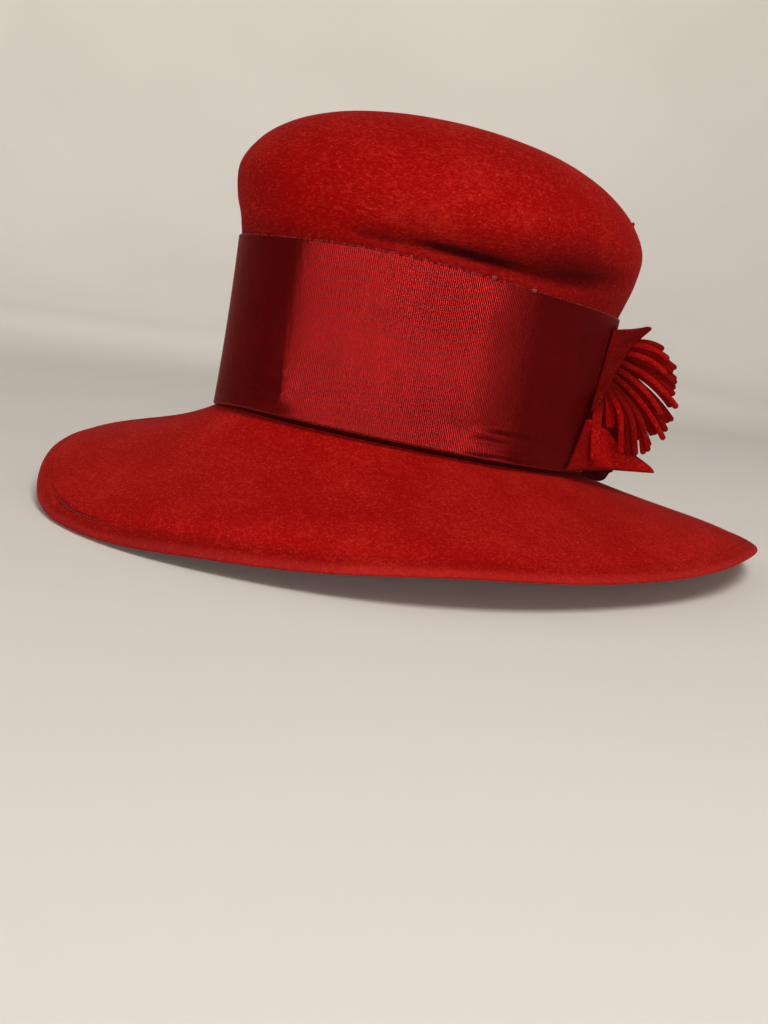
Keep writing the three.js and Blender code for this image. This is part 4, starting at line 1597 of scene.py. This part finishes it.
@dataclass(frozen=True)
class Viewpoint:
    """Camera fitted to the photograph; lengths in millimetres.

    Attributes:
        turn: Azimuth of the camera from the back towards the wearer's right, in degrees.
        elevation: Its height above the horizon seen from the target, in degrees.
        distance: Its distance from the target.
        target_height: Height of the target on the hat's axis.
        aim: Shift of the aim from the target, to the right and up in the picture.
        roll: Roll of the camera, in degrees.
        focal: Focal length in pixels of the long side.
        long_side: Pixels of the long side.
        sensor: Width of the sensor along the long side.
    """

    turn: float = 52.0
    elevation: float = 6.0
    distance: float = 683.4
    target_height: float = 55.5
    aim: tuple[float, float] = (-6.7, -51.5)
    roll: float = 7.29
    focal: float = 1300.0
    long_side: float = 1024.0
    sensor: float = 36.0

    def axes(self) -> tuple[Array, Array, Array, Array]:
        """Place of the camera and its right, up and forward directions."""
        roll = math.radians(self.roll)
        towards = sight(self.turn, self.elevation)
        target = self.target_height * PLUMB
        place = target + self.distance * towards
        right = unit(np.cross(-towards, PLUMB))
        aim = target + self.aim[0] * right + self.aim[1] * np.cross(right, -towards)
        ahead = unit(aim - place)
        right = unit(np.cross(ahead, PLUMB))
        up = np.cross(right, ahead)
        rolled = math.cos(roll) * right + math.sin(roll) * up
        return place, rolled, math.cos(roll) * up - math.sin(roll) * right, ahead

    def build(self) -> bpy.types.Object:
        """The scene's camera."""
        place, right, up, ahead = self.axes()
        camera = bpy.data.objects.new("camera", bpy.data.cameras.new("camera"))
        camera.matrix_world = standing(right, up, -ahead, place * MM)
        camera.data.sensor_width = self.sensor
        camera.data.lens = self.sensor * self.focal / self.long_side
        camera.data.clip_start = 0.01
        bpy.context.scene.collection.objects.link(camera)
        bpy.context.scene.camera = camera
        return camera


@dataclass(frozen=True)
class Softbox:
    """Rectangular studio light, placed by its turn from the camera and its elevation.

    Attributes:
        name: Name of the light.
        turn: Degrees to the right of the camera, seen from the hat.
        elevation: Degrees above the table.
        distance: Distance from the hat, in metres.
        size: Width and height, in metres.
        power: Power in watts.
        colour: Colour of the light.
        outwards: Whether it lights the wall behind it instead of the hat.
        target_height: Height on the hat's axis that it is placed from, in metres.
    """

    name: str
    turn: float
    elevation: float
    distance: float
    size: tuple[float, float]
    power: float
    colour: Colour = (1.0, 1.0, 1.0)
    outwards: bool = False
    target_height: float = 0.1

    def build(self, camera_turn: float) -> bpy.types.Object:
        """The light, turned to the hat's middle, or level and outwards."""
        back = sight(camera_turn + self.turn, self.elevation)
        right = unit(np.cross(PLUMB, back))
        lamp = bpy.data.lights.new(self.name, "AREA")
        lamp.shape = "RECTANGLE"
        lamp.size, lamp.size_y = self.size
        lamp.energy = self.power
        lamp.color = self.colour
        light = bpy.data.objects.new(self.name, lamp)
        place = self.target_height * PLUMB + self.distance * back
        if self.outwards:
            back = np.cross(PLUMB, right)
        light.matrix_world = standing(right, np.cross(back, right), back, place)
        light.visible_camera = False
        bpy.context.scene.collection.objects.link(light)
        return light


@dataclass(frozen=True)
class Studio:
    """Pale seamless floor, soft lights and the camera.

    Attributes:
        floor: Radius of the flat floor, in metres.
        sweep: Radius of the curve up to the wall.
        wall: Height of the wall.
        world: Strength of the even light all round.
        ambient: Colour of that light.
        view: The camera.
        lights: The lights.
    """

    floor: float = 1.7
    sweep: float = 0.9
    wall: float = 2.4
    world: float = 0.15
    ambient: Colour = (0.93, 0.96, 1.0)
    view: Viewpoint = Viewpoint()
    lights: tuple[Softbox, ...] = (
        Softbox("key", 20.0, 54.0, 2.2, (0.95, 0.95), 29.0, (1.0, 0.965, 0.92)),
        Softbox("front", -6.6, 3.2, 1.6, (0.18, 0.38), 7.7, (1.0, 0.98, 0.95)),
        Softbox("fill", 8.0, 3.2, 1.6, (0.50, 0.38), 5.4, (1.0, 0.98, 0.95)),
        Softbox("backdrop", -165.0, 60.0, 1.3, (1.2, 0.5), 13.0, (1.0, 0.98, 0.95), True),
    )

    def build(self) -> None:
        """Makes the studio."""
        bpy.context.scene.view_settings.view_transform = "Standard"
        self.view.build()
        for light in self.lights:
            light.build(self.view.turn)
        self.ground()
        world = bpy.data.worlds.new("studio")
        bpy.context.scene.world = world
        world.use_nodes = True
        even = world.node_tree.nodes["Background"]
        even.inputs["Color"].default_value = (*self.ambient, 1.0)
        even.inputs["Strength"].default_value = self.world

    def ground(self) -> bpy.types.Object:
        """Floor that sweeps up into a wall all round: a turned profile."""
        turn = np.linspace(0.0, math.pi / 2, 24)
        flat = np.linspace(0.05, 1.0, 12) * self.floor
        radius = np.concatenate([flat, self.floor + self.sweep * np.sin(turn)])
        height = np.concatenate([np.zeros_like(flat), self.sweep * (1 - np.cos(turn))])
        radius = np.append(radius, radius[-1])
        height = np.append(height, self.wall)
        girth = round_turn(96)[None, :]
        x, y = radius[:, None] * np.cos(girth), radius[:, None] * np.sin(girth)
        points = np.stack(np.broadcast_arrays(x, y, height[:, None]), axis=-1)
        paper = PaperFinish("paper", (0.80, 0.765, 0.715), (0.765, 0.73, 0.68)).material()
        ground = mesh_piece("studio_floor", [Grid(points / MM, poles=(True, False))], paper)
        return ground


def main() -> None:
    """Builds the hat and its studio."""
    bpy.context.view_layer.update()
    form = HatForm()
    # Copies of one felt: a shade below 1 paints shade, a little on the crown, leaves and strips, much on
    # the upper leaf and nearly black on the under leaf.
    crown_felt = FeltFinish("crown velour", shade=0.84, marks=Marks.PAINTED_SHADE).material()
    brim_felt = FeltFinish("brim velour", stretch=(0.8, 0.8, 1.0), marks=Marks.BRIM).material()
    leaf_felt = FeltFinish("leaf felt", fibre=0.9, shade=0.93, marks=Marks.PAINTED_SHADE).material()
    painted_shade_upper_leaf_felt = FeltFinish("painted shade upper leaf felt", fibre=0.9, shade=0.34).material()
    strip_felt = FeltFinish("strip felt", fibre=0.9, shade=0.80, marks=Marks.PAINTED_SHADE).material()
    painted_shade_under_leaf_felt = FeltFinish("painted shade under leaf felt", fibre=0.9, shade=0.10).material()
    leaf_felts = {"flower_leaf_upper": painted_shade_upper_leaf_felt, "flower_leaf_under": painted_shade_under_leaf_felt}
    satin = SatinFinish("ribbed satin").material()
    red_thread = ThreadFinish("red thread", (0.16, 0.003, 0.003), (0.07, 0.001, 0.001)).material()
    pink_thread = ThreadFinish("pink thread", (0.30, 0.022, 0.022), (0.18, 0.008, 0.008)).material()

    Studio().build()
    Crown(form).build(crown_felt)
    Brim(form).build(brim_felt, red_thread)
    Ribbon(form).build(satin, pink_thread)
    for leaf in flower_leaves(form):
        leaf.build(leaf_felts.get(leaf.node, leaf_felt))
    Fringe(form).build(strip_felt)


if __name__ == "__main__":
    main()
